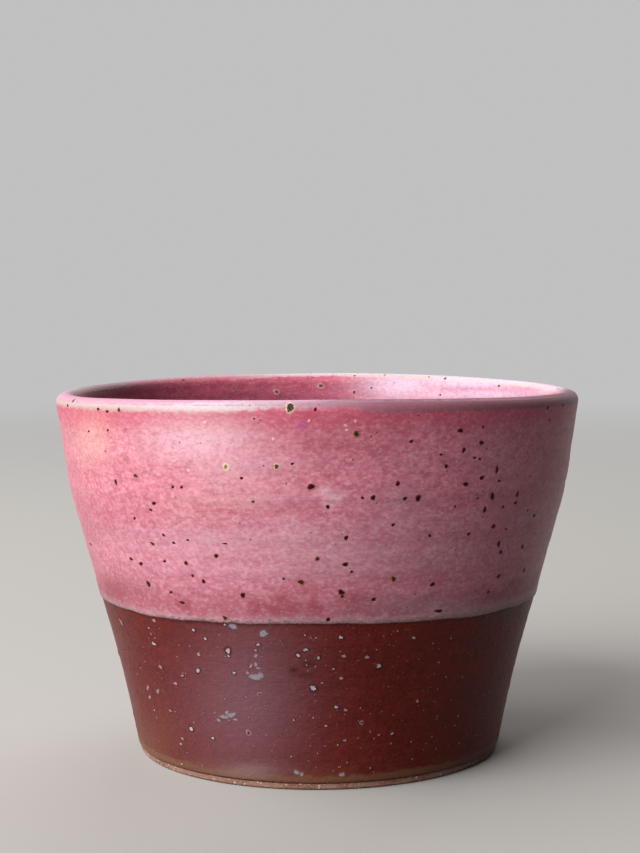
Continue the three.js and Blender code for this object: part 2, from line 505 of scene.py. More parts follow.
class Rings:
    """Rings of points round the axis, one after another, joined into one closed mesh."""

    def __init__(self, rings: np.ndarray, values: Mapping[str, np.ndarray]) -> None:
        """Keeps the rings, each of which runs the way that turn grows.

        Args:
            rings: Points in an array of ring, place round the ring, and x, y, z.
            values: Named values of the points, in arrays of ring and place round the ring.
        """
        self.rings = rings
        self.values = values

    def mesh(self, name: str, poles: bool) -> bpy.types.Mesh:
        """Joins each ring to the next one with four-sided faces.

        Args:
            name: The mesh's name.
            poles: True if the first and last ring lie on the axis and close as poles, and False
                if the last ring joins the first.

        Returns:
            The closed mesh, which faces out.
        """
        count, around = self.rings.shape[:2]
        points = self.rings.reshape(-1, 3)
        row = np.arange(count if not poles else count - 1)[:, None] * around
        following = (row + around) % (count * around)
        here = np.arange(around)[None, :]
        beside = (here + 1) % around
        quads = np.stack([row + here, row + beside, following + beside, following + here], axis=-1)
        carried = {key: value.ravel() for key, value in self.values.items()}
        if not poles:
            return mesh_from(name, points, quads.reshape(-1, 4), np.empty((0, 3), int), carried)
        keep = np.r_[0, around : (count - 1) * around, (count - 1) * around]
        order = np.full(count * around, -1)
        order[keep] = np.arange(len(keep))
        first, last = 0, len(keep) - 1
        start = np.stack([np.full(around, first), order[quads[0, :, 2]], order[quads[0, :, 3]]], axis=-1)
        end = np.stack([order[quads[-1, :, 0]], order[quads[-1, :, 1]], np.full(around, last)], axis=-1)
        body = order[quads[1:-1].reshape(-1, 4)]
        carried = {key: value[keep] for key, value in carried.items()}
        return mesh_from(name, points[keep], body, np.concatenate([start, end]), carried)


def mesh_from(
    name: str, points: np.ndarray, quads: np.ndarray, triangles: np.ndarray, values: Mapping[str, np.ndarray]
) -> bpy.types.Mesh:
    """Puts arrays of points and faces into a smooth mesh.

    Args:
        name: The mesh's name.
        points: One row of x, y, z for each point.
        quads: Four point numbers for each four-sided face.
        triangles: Three point numbers for each triangle.
        values: Numbers, or colours with alpha, carried by the points under their names.

    Returns:
        The new mesh.
    """
    mesh = bpy.data.meshes.new(name)
    corners = np.concatenate([quads.ravel(), triangles.ravel()]).astype(np.int32)
    starts = np.concatenate([np.arange(len(quads)) * 4, quads.size + np.arange(len(triangles)) * 3])
    mesh.vertices.add(len(points))
    mesh.vertices.foreach_set("co", points.astype(np.float32).ravel())
    mesh.loops.add(len(corners))
    mesh.loops.foreach_set("vertex_index", corners)
    mesh.polygons.add(len(starts))
    mesh.polygons.foreach_set("loop_start", starts.astype(np.int32))
    mesh.polygons.foreach_set("use_smooth", np.ones(len(starts), bool))
    mesh.update(calc_edges=True)
    for key, value in values.items():
        kind, slot = ("FLOAT", "value") if value.ndim == 1 else ("FLOAT_COLOR", "color")
        carried = mesh.attributes.new(key, kind, "POINT")
        carried.data.foreach_set(slot, value.astype(np.float32).ravel())
    mesh.set_sharp_from_angle(angle=SHARP_FROM)
    return mesh


class Photograph:
    """The camera that took the photograph, as fitted to the bowl's outline in it.

    Picture and focal length are in pixels, the sensor in millimetres and the angles in degrees.
    """

    WIDTH, HEIGHT = 640, 853
    SENSOR = 36.0
    FOCAL_PIXELS = 1750.0
    BEFORE_BOWL, ABOVE_TABLE = 525.9 * MM, 137.0 * MM
    PITCH, YAW, ROLL = 4.44, 0.09, -0.27

    def __init__(self) -> None:
        """Sets the camera's place and the three directions that it looks, leans and points up."""
        self.place = np.array([0.0, -self.BEFORE_BOWL, self.ABOVE_TABLE])
        pitch, yaw, roll = (math.radians(angle) for angle in (self.PITCH, self.YAW, self.ROLL))
        ahead = np.array(
            [math.sin(yaw) * math.cos(pitch), math.cos(yaw) * math.cos(pitch), -math.sin(pitch)]
        )
        level = np.cross(ahead, [0.0, 0.0, 1.0])
        level /= np.linalg.norm(level)
        above = np.cross(level, ahead)
        self.ahead = ahead
        self.right = level * math.cos(roll) + above * math.sin(roll)
        self.up = above * math.cos(roll) - level * math.sin(roll)

    def seen(self, points: np.ndarray) -> tuple[np.ndarray, np.ndarray]:
        """Gives where points fall in the photograph.

        Args:
            points: Points whose last axis holds x, y and z.

        Returns:
            Their distance from the photograph's left side and from its top, in pixels.
        """
        sight = points - self.place
        deep = sight @ self.ahead
        across = self.WIDTH / 2 + self.FOCAL_PIXELS * (sight @ self.right) / deep
        down = self.HEIGHT / 2 - self.FOCAL_PIXELS * (sight @ self.up) / deep
        return across, down

    def set_camera(self) -> None:
        """Makes the scene's camera stand where the photograph was taken."""
        data = bpy.data.cameras.new("photograph")
        data.sensor_fit = "AUTO"
        data.sensor_width = self.SENSOR
        data.lens = self.FOCAL_PIXELS / self.HEIGHT * self.SENSOR
        camera = shown("photograph", data)
        camera.matrix_world = standing(self.right, self.up, -self.ahead, self.place)
        bpy.context.scene.camera = camera


class View(Enum):
    """The two stretches of the bowl that the photograph shows."""

    OUTSIDE = "the outer wall and the lip in front"
    INSIDE = "the inner wall at the back"


class SightMap:
    """Finds the place on the bowl that a pixel of the photograph shows."""

    STEP = 0.25 * MM
    TURNS = 720
    HALF = math.radians(86)
    OVER_CREST = 1.5 * MM
    BELOW_LIP = 40 * MM

    def __init__(self, skin: Skin, coats: Coats, camera: Photograph, view: View) -> None:
        """Lays a fine net over one stretch and notes where each knot is seen.

        Args:
            skin: The bowl's skin.
            coats: The glaze on it.
            camera: The photograph's camera.
            view: The stretch.
        """
        self.camera = camera
        if view is View.OUTSIDE:
            along, middle = np.arange(0, skin.crest + self.OVER_CREST, self.STEP), 0.0
        else:
            along, middle = np.arange(skin.crest, skin.lip_end + self.BELOW_LIP, self.STEP), math.pi
        turn = np.linspace(middle - self.HALF, middle + self.HALF, self.TURNS)
        self.along, self.turn = (net.ravel() for net in np.meshgrid(along, turn, indexing="ij"))
        points = skin.place(self.along, self.turn, coats.both(self.along))
        self.across, self.down = camera.seen(points)

    def find(self, x: np.ndarray, y: np.ndarray) -> tuple[np.ndarray, np.ndarray]:
        """Gives length along the skin and turn of the knot nearest to each pixel."""
        nearest = [np.argmin((self.across - a) ** 2 + (self.down - b) ** 2) for a, b in zip(x, y)]
        return self.along[nearest], self.turn[nearest]


@dataclass(frozen=True)
class MarkLook:
    """How a small fired mark looks: a core in a ring, in a lens of glaze that stands a little proud.

    Core and ring are six-digit colours. Crown is the lens's height at its middle, rim that of a
    raised ring half way out, and spread how much wider the lens is than the mark. Lean is how far
    the core lies down and to the right of the middle, in sizes of the mark: a pale core leant so
    is a painted glint, and the dark ring that it bares at the upper left a painted shadow.
    """

    core: str
    ring: str
    ring_strength: float = 0.8
    core_reach: float = 0.5
    crown: float = 0.05 * MM
    rim: float = 0.0
    spread: float = 1.6
    lean: float = 0.0


class MarkKind(Enum):
    """The kinds of mark that the firing left in the glazes. Blister, pearl, eye and pit also carry painted
    light: glints and shade in their pits.
    """

    IRON = MarkLook(core="210d07", ring="80332c", core_reach=0.64, crown=0.06 * MM, spread=1.4)
    GILDED = MarkLook(core="3a2210", ring="e2c193", core_reach=0.55)
    CREAMED = MarkLook(core="8a6a38", ring="ecd4b8", ring_strength=0.85, core_reach=0.36, spread=1.7)
    OLIVE = MarkLook(core="33200b", ring="9a6a45", core_reach=0.55)
    SOOTED = MarkLook(core="2a1508", ring="d9c6a2", core_reach=0.62)
    HALOED = MarkLook(core="31150f", ring="dcaea8", ring_strength=0.45, core_reach=0.34, spread=2.0)
    FADED = MarkLook(core="80504c", ring="a87a72", ring_strength=0.55, core_reach=0.35, crown=0.0)
    PALE = MarkLook(core="edc3c4", ring="e0a2a8", ring_strength=0.6, core_reach=0.42, crown=0.03 * MM)
    # Pale in itself; its leant core is a painted glint and its dark ring a painted shadow.
    BLISTER = MarkLook(
        core="aa8386", ring="4a1a18", ring_strength=0.65, core_reach=0.45, crown=0.08 * MM, lean=0.12
    )
    # Pale in itself; its leant core is a painted glint and its dark ring a painted shadow.
    PEARL = MarkLook(core="bdb5bb", ring="4a2022", core_reach=0.36, rim=0.07 * MM, lean=0.14)
    # A ring crater whose dark core is partly painted shade in the crater.
    EYE = MarkLook(
        core="4a2320", ring="a5807c", ring_strength=0.85, core_reach=0.4, crown=0.0, rim=0.09 * MM, spread=1.3
    )
    # A pit whose dark core is painted shade in the hole.
    PIT = MarkLook(core="1e0b08", ring="7a453b", ring_strength=0.7, crown=-0.08 * MM, rim=0.05 * MM)
    ASH = MarkLook(core="938a92", ring="6f4f55", ring_strength=0.6, crown=0.03 * MM, spread=1.9)


IRON, GILDED, CREAMED, OLIVE, SOOTED, HALOED, FADED, PALE, BLISTER, PEARL, EYE, PIT, ASH = MarkKind


@dataclass(frozen=True)
class Mark:
    """A mark at a place in the photograph, in its 640 by 853 pixels.

    Stretch is its length over its width, and slant is how far it leans from level, in degrees.
    """

    x: float
    y: float
    size: float
    kind: MarkKind = IRON
    stretch: float = 1.0
    slant: float = 0.0


UPRIGHT = 90.0

IRON_SPECKS = (
    Mark(357, 433.5, 6, OLIVE),
    Mark(254.5, 418.7, 3.5, HALOED),
    Mark(205, 422, 3.6, PALE, 1.5),
    Mark(88.7, 431, 2.5),
    Mark(108, 430, 2.5),
    Mark(410.5, 441, 3),
    Mark(441, 455, 2.5),
    Mark(446.4, 466.5, 4),
    Mark(463.7, 449.5, 4.5, stretch=1.6, slant=UPRIGHT),
    Mark(460.7, 430.5, 5),
    Mark(474.3, 458, 3),
    Mark(479.6, 459.5, 3),
    Mark(481, 443, 4.5),
    Mark(483, 427, 2.5),
    Mark(549.6, 419.6, 3),
    Mark(496.6, 470, 5, stretch=1.9, slant=UPRIGHT),
    Mark(481.6, 478, 4.5),
    Mark(499, 481, 3),
    Mark(492.5, 496, 6, stretch=1.6, slant=UPRIGHT),
    Mark(477.8, 498.5, 2.5),
    Mark(517, 494.5, 4.5, stretch=1.5, slant=UPRIGHT),
    Mark(515.5, 503, 3.5),
    Mark(484.8, 509.5, 4.8, stretch=1.6, slant=UPRIGHT),
    Mark(503, 507, 3),
    Mark(527.6, 510, 2.5),
    Mark(534, 515.5, 4),
    Mark(454.6, 506, 2.5),
    Mark(465.7, 484.3, 5),
    Mark(397.7, 483.5, 4.5),
    Mark(404.4, 498.3, 4),
    Mark(418.4, 497.6, 6),
    Mark(373.3, 498, 5),
    Mark(362.5, 497.5, 3),
    Mark(328, 506.5, 4),
    Mark(310.3, 486.7, 6.5, stretch=1.4),
    Mark(291.7, 464, 3),
    Mark(276.4, 466.3, 5, GILDED),
    Mark(241.6, 477.7, 3),
    Mark(225.7, 466.5, 6.5, CREAMED),
    Mark(173, 487, 3),
    Mark(181.5, 487, 3),
    Mark(136, 475.8, 4.2, OLIVE),
    Mark(115.6, 481.5, 4.2, stretch=1.6, slant=UPRIGHT),
    Mark(153.6, 503, 4),
    Mark(151, 510, 3),
    Mark(134.8, 518, 3),
    Mark(163.2, 535.2, 3),
    Mark(152.8, 543.7, 4, OLIVE),
    Mark(173.8, 542.5, 3),
    Mark(187.4, 540, 2.5),
    Mark(225, 543.8, 3, stretch=2.2),
    Mark(253, 501.7, 3, OLIVE),
    Mark(392.9, 524.8, 3.5),
    Mark(345.5, 538, 4.5, stretch=1.4, slant=UPRIGHT),
    Mark(469, 533.7, 3.5),
    Mark(430, 536, 3),
    Mark(493.4, 526, 4.5, stretch=1.5, slant=UPRIGHT),
    Mark(506, 529.5, 2.5),
    Mark(499, 544, 5, stretch=1.5, slant=UPRIGHT),
    Mark(500.6, 552.5, 4),
    Mark(522.5, 546.5, 4.2, stretch=1.6, slant=UPRIGHT),
    Mark(131, 559, 3.5),
    Mark(91, 544, 4, stretch=2.2),
    Mark(141, 564, 4),
    Mark(164.3, 561.5, 3),
    Mark(186.3, 563, 4, stretch=1.6, slant=UPRIGHT),
    Mark(216.3, 556, 4.5, stretch=1.4, slant=UPRIGHT),
    Mark(317, 558.7, 4.5, OLIVE),
    Mark(344.9, 564, 5),
    Mark(351.5, 572, 3),
    Mark(148.6, 583.5, 5, stretch=1.5, slant=UPRIGHT),
    Mark(192.4, 575.8, 3),
    Mark(203.7, 581.3, 4),
    Mark(170.8, 591.7, 3),
    Mark(181.8, 602.7, 4, stretch=2.2),
    Mark(242.8, 595.6, 5),
    Mark(301, 582.3, 6, OLIVE),
    Mark(284, 579, 2.5),
    Mark(340.8, 591.7, 6),
    Mark(342, 596.2, 3),
    Mark(373.7, 599.2, 4),
    Mark(393.8, 578.5, 5, OLIVE),
    Mark(432, 584.3, 4.5),
    Mark(498.5, 576.5, 4),
    Mark(524, 570, 4.2, stretch=1.6, slant=UPRIGHT),
    Mark(488.3, 592.3, 3),
    Mark(438, 611, 5, stretch=2.3),
    Mark(328.5, 619.5, 4),
    Mark(225.4, 617.5, 4.5, OLIVE),
)

LIP_SPECKS = (
    Mark(73.6, 401, 3.5),
    Mark(67.8, 405.5, 3),
    Mark(98, 408.6, 3),
    Mark(107, 411, 3),
    Mark(119, 409.5, 3.5, OLIVE),
    Mark(290.5, 407.5, 8, SOOTED, 1.1),
    Mark(315, 409, 3),
    Mark(548, 408, 3.5),
    Mark(563, 406, 3.5),
)

PALE_SPECKS = (
    Mark(309, 420.6, 3, PALE),
    Mark(345, 425, 3, PALE),
    Mark(347, 430, 3, PALE),
    Mark(356, 421, 3, PALE),
    Mark(273, 439, 3.5, PALE),
    Mark(195, 456, 3.5, PALE),
    Mark(174, 461, 3, PALE),
    Mark(188.6, 470.7, 3.5, PALE),
    Mark(174.5, 545.5, 2.5, PALE),
)

INNER_SPECKS = (
    Mark(234, 389, 5.5, FADED, 1.3),
    Mark(277, 392, 4.5, HALOED),
    Mark(321, 386, 5, HALOED),
    Mark(354, 392, 2.7),
    Mark(371, 388, 2),
    Mark(440, 395, 2),
    Mark(499, 386, 2.3),
    Mark(559, 389.5, 2.5),
    Mark(183, 380, 2),
    Mark(355, 375.5, 1.6),
    Mark(385, 375, 1.5),
    Mark(429, 377, 1.5),
    Mark(445, 378.5, 2.2),
)

RED_MARKS = (
    Mark(121, 621, 6, BLISTER, 2.2, -50),
    Mark(154, 619.5, 5, BLISTER),
    Mark(148.7, 627.5, 3, BLISTER),
    Mark(153.6, 642.3, 6, PEARL, 1.4),
    Mark(160.3, 666.6, 5, BLISTER),
    Mark(193, 629.5, 5, PEARL),
    Mark(205, 638, 4, PEARL),
    Mark(224.4, 624.3, 3.5, PEARL),
    Mark(233, 626, 7, ASH, 1.2),
    Mark(227, 649.5, 8, PEARL),
    Mark(228, 655.5, 3.5, PEARL),
    Mark(198.2, 653.3, 5, BLISTER),
    Mark(197.6, 670, 6, PEARL),
    Mark(181.6, 675.3, 4, BLISTER),
    Mark(175.3, 682.7, 5, BLISTER),
    Mark(233.7, 672.3, 4.5, PEARL),
    Mark(263, 633.5, 7, ASH, 1.4),
    Mark(258, 644, 4.5, PEARL),
    Mark(256, 677, 9, ASH, 1.7, 5),
    Mark(260.5, 675, 6, ASH, 1.3, 60),
    Mark(251.5, 666, 4, ASH, 1.8, 70),
    Mark(255.5, 664.5, 3.5, ASH, 1.8, 100),
    Mark(258.5, 668, 3, ASH, 1.4),
    Mark(247.5, 673, 3, ASH),
    Mark(256, 656, 3.5, ASH, 1.6, 80),
    Mark(259.8, 669.4, 2, PIT),
    Mark(261, 673.6, 2.2, PEARL),
    Mark(250.5, 666, 4, BLISTER),
    Mark(255, 650, 4, BLISTER),
    Mark(259.6, 694, 4.5, EYE),
    Mark(297, 654, 6, PEARL),
    Mark(305, 648.5, 6, PEARL, 1.5),
    Mark(317.7, 656.7, 5, PEARL),
    Mark(340.4, 637, 6, PEARL),
    Mark(343.5, 655.8, 5, BLISTER),
    Mark(366.7, 657, 5, BLISTER, 2.0),
    Mark(378, 664.8, 6.5, PEARL, 1.4, UPRIGHT),
    Mark(341, 678, 4.5, BLISTER),
    Mark(312.2, 687.3, 8, PEARL, 1.15),
    Mark(321.4, 682.7, 3.5, BLISTER),
    Mark(413.2, 637.3, 5, PEARL),
    Mark(436.5, 652.4, 5, PIT),
    Mark(395.7, 686, 5, PIT),
    Mark(428.6, 684, 5, PIT),
    Mark(147.8, 688, 3.6, ASH, 2.2, 50),
    Mark(158, 691, 3.6, ASH, 2.2, 55),
    Mark(149.7, 697, 3, ASH, 2.2, 50),
    Mark(170.2, 710.5, 4, BLISTER),
    Mark(191, 727.8, 6.5, PEARL, 1.4, UPRIGHT),
    Mark(182.2, 738.2, 4, BLISTER),
    Mark(180.5, 743.5, 4, BLISTER),
    Mark(212.4, 736.9, 4.5, PEARL),
    Mark(224.5, 717, 6, ASH, 1.7),
    Mark(231.5, 715, 6, ASH, 1.5, 15),
    Mark(225, 716, 2, PEARL),
    Mark(229, 719.5, 2.2, PEARL, 1.6),
    Mark(228, 716.5, 1.8, PIT),
    Mark(226.5, 712.5, 3.5, ASH),
    Mark(235.5, 719.5, 3, ASH, 1.3),
    Mark(218.5, 720.5, 3.5, ASH),
    Mark(248.5, 733, 6, EYE),
    Mark(280.6, 744.2, 4.5, PIT),
    Mark(181.6, 763, 4, BLISTER),
    Mark(296.5, 772, 5, ASH),
    Mark(302, 774.5, 4, ASH),
    Mark(325.6, 725.3, 4, BLISTER),
    Mark(335.3, 706, 5, PEARL),
    Mark(345.5, 710, 4, BLISTER),
    Mark(361.5, 723, 4.5, EYE),
    Mark(364, 730.6, 6, PIT),
    Mark(344.2, 739.7, 4, BLISTER),
    Mark(392, 732.3, 4.5, PEARL),
    Mark(417.6, 700.8, 4, BLISTER),
    Mark(380, 744.8, 6, PIT),
    Mark(411.2, 758.2, 6, PIT),
    Mark(342, 774.6, 4.5, ASH),
)


@dataclass(frozen=True)
class Scatter:
    """A band of the skin over which marks between two sizes lie at random."""

    count: int
    low: float
    high: float
    turns: tuple[float, float]
    kinds: tuple[MarkKind, ...]
    smallest: float
    largest: float


class FiredMarks:
    """Small lenses of glaze, each with a core and a ring, laid on a coat."""

    REACHES = (0.34, 0.6, 0.82, 1.0)
    CORNERS = 12
    SUNK = 0.03 * MM
    ROOT = 0.16 * MM
    LIFT = 0.01 * MM
    RIM_AT, RIM_WIDTH = 0.5, 0.24
    TWO_WAVES, THREE_WAVES = 0.15, 0.11
    FULL_RELIEF = 1.6 * MM
    LEAST_RELIEF, MOST_RELIEF = 0.5, 1.5
    LEAST_FACING = 0.5
    LEAST_RADIUS = 3 * MM
    LEAN_ASIDE = 0.8
    RARER_WITH_SIZE = 2.2
    MOST_STRETCH = 0.8

    def __init__(self, skin: Skin, coats: Coats, seed: int) -> None:
        """Starts with no marks.

        Args:
            skin: The bowl's skin.
            coats: The glaze on it.
            seed: What the random marks and shapes start from.
        """
        self.skin = skin
        self.coats = coats
        self.draw = np.random.default_rng(seed)
        self.rows: list[np.ndarray] = []
        self.looks: list[MarkLook] = []

    def from_photograph(self, marks: Sequence[Mark], sight: SightMap) -> None:
        """Lays marks where the photograph shows them, wider where the wall turns away from it.

        Args:
            marks: The marks, in pixels.
            sight: The stretch that they lie on.
        """
        camera = sight.camera
        along, turn = sight.find(np.array([m.x for m in marks]), np.array([m.y for m in marks]))
        points = self.skin.place(along, turn)
        pixel = (points - camera.place) @ camera.ahead / camera.FOCAL_PIXELS
        size = np.array([m.size * m.kind.value.spread for m in marks]) * pixel
        stretch = np.array([m.stretch for m in marks])
        slant = np.radians([m.slant for m in marks])
        out = self.skin.place(along, turn, np.full_like(along, 1 * MM)) - points
        toward = camera.place - points
        facing = np.abs((out * toward).sum(axis=-1)) / np.linalg.norm(out, axis=-1)
        facing = facing / np.linalg.norm(toward, axis=-1)
        widened = np.clip(facing, self.LEAST_FACING, 1.0) ** -0.5
        self.rows.append(np.stack([along, turn, size, stretch, slant, widened], axis=-1))
        self.looks += [m.kind.value for m in marks]

    def scattered(self, scatter: Scatter) -> None:
        """Lays marks at random, small ones more often than large ones.

        Args:
            scatter: The band and the kinds of mark.
        """
        draw, count = self.draw, scatter.count
        along = draw.uniform(scatter.low, scatter.high, count)
        turn = draw.uniform(*scatter.turns, count)
        kinds = [scatter.kinds[i] for i in draw.integers(len(scatter.kinds), size=count)]
        span = scatter.largest - scatter.smallest
        size = scatter.smallest + span * draw.uniform(0, 1, count) ** self.RARER_WITH_SIZE
        size = size * np.array([k.value.spread for k in kinds])
        stretch = 1 + self.MOST_STRETCH * draw.uniform(0, 1, count) ** 3
        slant = draw.uniform(0, math.pi, count)
        self.rows.append(np.stack([along, turn, size, stretch, slant, np.ones(count)], axis=-1))
        self.looks += [k.value for k in kinds]

    def mesh(self, name: str, values_at: Callable) -> bpy.types.Mesh:
        """Builds all the lenses as one mesh.

        A lens is a grid of reach and angle on the skin. Its outline is an ellipse that wobbles
        with two and three waves. Its height is a crown, (1 - reach^2), and a rim, a bell at half
        reach. Its edge dips under the glaze and its underside is a cone rooted in the coat.

        Args:
            name: The mesh's name.
            values_at: Gives the coat's own values at lengths along the skin and turns.

        Returns:
            The mesh, which carries the marks' colours and depth with the coat's values.
        """
        along, turn, size, stretch, slant, widened = np.concatenate(self.rows).T[..., None, None]
        count = len(self.looks)
        reach = np.array(self.REACHES)[None, :, None]
        angle = (np.arange(self.CORNERS) / self.CORNERS * FULL_TURN)[None, None, :]
        start = self.draw.uniform(0, FULL_TURN, (2, count, 1, 1))
        two, three = np.cos(2 * angle + start[0]), np.cos(3 * angle + start[1])
        wobble = 1 + self.TWO_WAVES * two + self.THREE_WAVES * three
        wide = reach * wobble * np.cos(angle) * np.sqrt(stretch) * size / 2
        tall = reach * wobble * np.sin(angle) / np.sqrt(stretch) * size / 2
        up = tall * np.cos(slant) + wide * np.sin(slant)
        sideways = (wide * np.cos(slant) - tall * np.sin(slant)) * widened
        radius = np.maximum(self.skin.at(along, self.skin.radius), self.LEAST_RADIUS)
        leans, crown, rim = (self._of_looks(what)[:, None, None] for what in ("lean", "crown", "rim"))
        # Leaning the core lays it as a painted glint and bares the dark ring as a painted shadow.
        lean = leans * size * (1 - reach)
        at_along, at_turn = along + up - lean, turn + (sideways + self.LEAN_ASIDE * lean) / radius
        scale = np.clip(size / self.FULL_RELIEF, self.LEAST_RELIEF, self.MOST_RELIEF)
        rim_bell = np.exp(-(((reach - self.RIM_AT) / self.RIM_WIDTH) ** 2))
        height = scale * (crown * (1 - reach**2) + rim * rim_bell)
        height = height - self.SUNK * reach**4 + self.LIFT
        middle = (along[:, 0], turn[:, 0])
        ring_points = self.skin.place(at_along, at_turn, self.coats.both(at_along) + height)
        top = scale * (crown + rim * math.exp(-((self.RIM_AT / self.RIM_WIDTH) ** 2)))
        top_point = self.skin.place(*middle, self.coats.both(middle[0]) + top[:, 0] + self.LIFT)
        root_point = self.skin.place(*middle, self.coats.both(middle[0]) - self.ROOT)
        points = np.concatenate([top_point, ring_points.reshape(count, -1, 3), root_point], axis=1)
        each = points.shape[1]
        quads, triangles = self._faces()
        base = np.arange(count)[:, None, None] * each
        depth = np.concatenate([[1.0], np.repeat(1 - reach[0, :, 0], self.CORNERS), [0.0]])
        nets = ((middle[0], at_along), (middle[1], at_turn))
        where = [np.concatenate([own, net.reshape(count, -1), own], axis=1).ravel() for own, net in nets]
        values = dict(values_at(*where))
        values["mark_depth"] = np.tile(depth, count)
        values["mark_core_reach"] = np.repeat(self._of_looks("core_reach"), each)
        values["mark_core"] = np.repeat([glaze_color(k.core) for k in self.looks], each, axis=0)
        ring = [(*glaze_color(k.ring)[:3], k.ring_strength) for k in self.looks]
        values["mark_ring"] = np.repeat(ring, each, axis=0)
        faces = (base + quads).reshape(-1, 4), (base + triangles).reshape(-1, 3)
        return mesh_from(name, points.reshape(-1, 3), *faces, values)

    def _of_looks(self, what: str) -> np.ndarray:
        """Gives one number of every mark's look."""
        return np.array([getattr(look, what) for look in self.looks])

    def _faces(self) -> tuple[np.ndarray, np.ndarray]:
        """Gives one lens's faces: a fan at its top, bands between its rings, a cone below.

        Returns:
            Its four-sided faces and its triangles.
        """
        around = np.arange(self.CORNERS)
        beside = (around + 1) % self.CORNERS
        inner = 1 + np.arange(len(self.REACHES) - 1)[:, None] * self.CORNERS
        outer = inner + self.CORNERS
        quads = np.stack([inner + around, outer + around, outer + beside, inner + beside], axis=-1)
        last = 1 + (len(self.REACHES) - 1) * self.CORNERS
        tip = 1 + len(self.REACHES) * self.CORNERS
        fan = np.stack([np.zeros_like(around), 1 + around, 1 + beside], axis=-1)
        cone = np.stack([np.full_like(around, tip), last + beside, last + around], axis=-1)
        return quads.reshape(-1, 4), np.concatenate([fan, cone])


Socket = bpy.types.NodeSocket
FLOAT, VECTOR, COLOR = "NodeSocketFloat", "NodeSocketVector", "NodeSocketColor"


def emptied(holder: bpy.types.Material | bpy.types.World) -> bpy.types.NodeTree:
    """Turns on the nodes of a material or a world, clears them and gives their tree.

    Args:
        holder: The material or the world.

    Returns:
        Its node tree, now empty.
    """
    holder.use_nodes = True
    holder.node_tree.nodes.clear()
    return holder.node_tree


class Wiring:
    """Adds nodes to one node tree and joins them."""

    def __init__(self, tree: bpy.types.NodeTree) -> None:
        """Keeps the tree."""
        self.tree = tree

    def put(self, kind: str, inputs: Mapping | None = None, **settings: object) -> bpy.types.Node:
        """Adds a node.

        Args:
            kind: The node's type.
            inputs: A value, or another node's socket, for each of its inputs by name or number.
            **settings: Its other settings.

        Returns:
            The node.
        """
        node = self.tree.nodes.new(kind)
        for key, value in settings.items():
            setattr(node, key, value)
        for key, value in (inputs or {}).items():
            if isinstance(value, Socket):
                self.tree.links.new(value, node.inputs[key])
            else:
                node.inputs[key].default_value = value
        return node

    def sum(self, operation: str, *terms: object) -> Socket:
        """Adds a Math node and gives its result."""
        return self.put("ShaderNodeMath", dict(enumerate(terms)), operation=operation).outputs[0]

    def times(self, one: object, other: object) -> Socket:
        """Multiplies two values."""
        return self.sum("MULTIPLY", one, other)

    def plus(self, one: object, other: object) -> Socket:
        """Adds two values."""
        return self.sum("ADD", one, other)

    def minus(self, one: object, other: object) -> Socket:
        """Takes one value from another."""
        return self.sum("SUBTRACT", one, other)

    def ramp(
        self, value: object, low: object, high: object, to_low: object = 0.0, to_high: object = 1.0
    ) -> Socket:
        """Leads smoothly from to_low, where a value is low or beyond, to to_high, where it is high."""
        inputs = {"Value": value, "From Min": low, "From Max": high, "To Min": to_low, "To Max": to_high}
        return self.put("ShaderNodeMapRange", inputs, interpolation_type="SMOOTHSTEP").outputs[0]

    def blend(self, share: object, under: object, over: object) -> Socket:
        """Lays one colour over another.

        Args:
            share: How much of the upper colour shows.
            under: The lower colour, as a socket or a six-digit colour.
            over: The upper colour.

        Returns:
            The blended colour.
        """
        under, over = (glaze_color(c) if isinstance(c, str) else c for c in (under, over))
        node = self.put("ShaderNodeMix", {0: share, 6: under, 7: over}, data_type="RGBA")
        return node.outputs[2]

    def attribute(self, name: str, output: str = "Fac") -> Socket:
        """Reads a value that the mesh carries."""
        return self.put("ShaderNodeAttribute", attribute_name=name).outputs[output]

    def group(self, tree: bpy.types.NodeTree, inputs: Mapping[str, object], output: str) -> Socket:
        """Places a shader node group and gives one of its outputs."""
        return self.put("ShaderNodeGroup", inputs, node_tree=tree).outputs[output]


class EffectWiring(Wiring):
    """The wiring of one shared effect, a shader node group that is given a position."""

    def __init__(self, name: str, given: Mapping[str, float | str], made: Mapping[str, str]) -> None:
        """Starts the group.

        Args:
            name: Its name.
            given: The usual number of each other input, or the kind of one that has none.
            made: The kind of each output.
        """
        super().__init__(bpy.data.node_groups.new(name, "ShaderNodeTree"))
        for key, value in {"Position": VECTOR, **given}.items():
            kind = value if isinstance(value, str) else FLOAT
            socket = self.tree.interface.new_socket(key, in_out="INPUT", socket_type=kind)
            if kind == FLOAT:
                socket.default_value = value
        for key, kind in made.items():
            self.tree.interface.new_socket(key, in_out="OUTPUT", socket_type=kind)
        self.given = self.put("NodeGroupInput").outputs
        self.made = self.put("NodeGroupOutput").inputs

    def give(self, output: str, value: Socket) -> None:
        """Joins a value to one of the group's outputs."""
        self.tree.links.new(value, self.made[output])


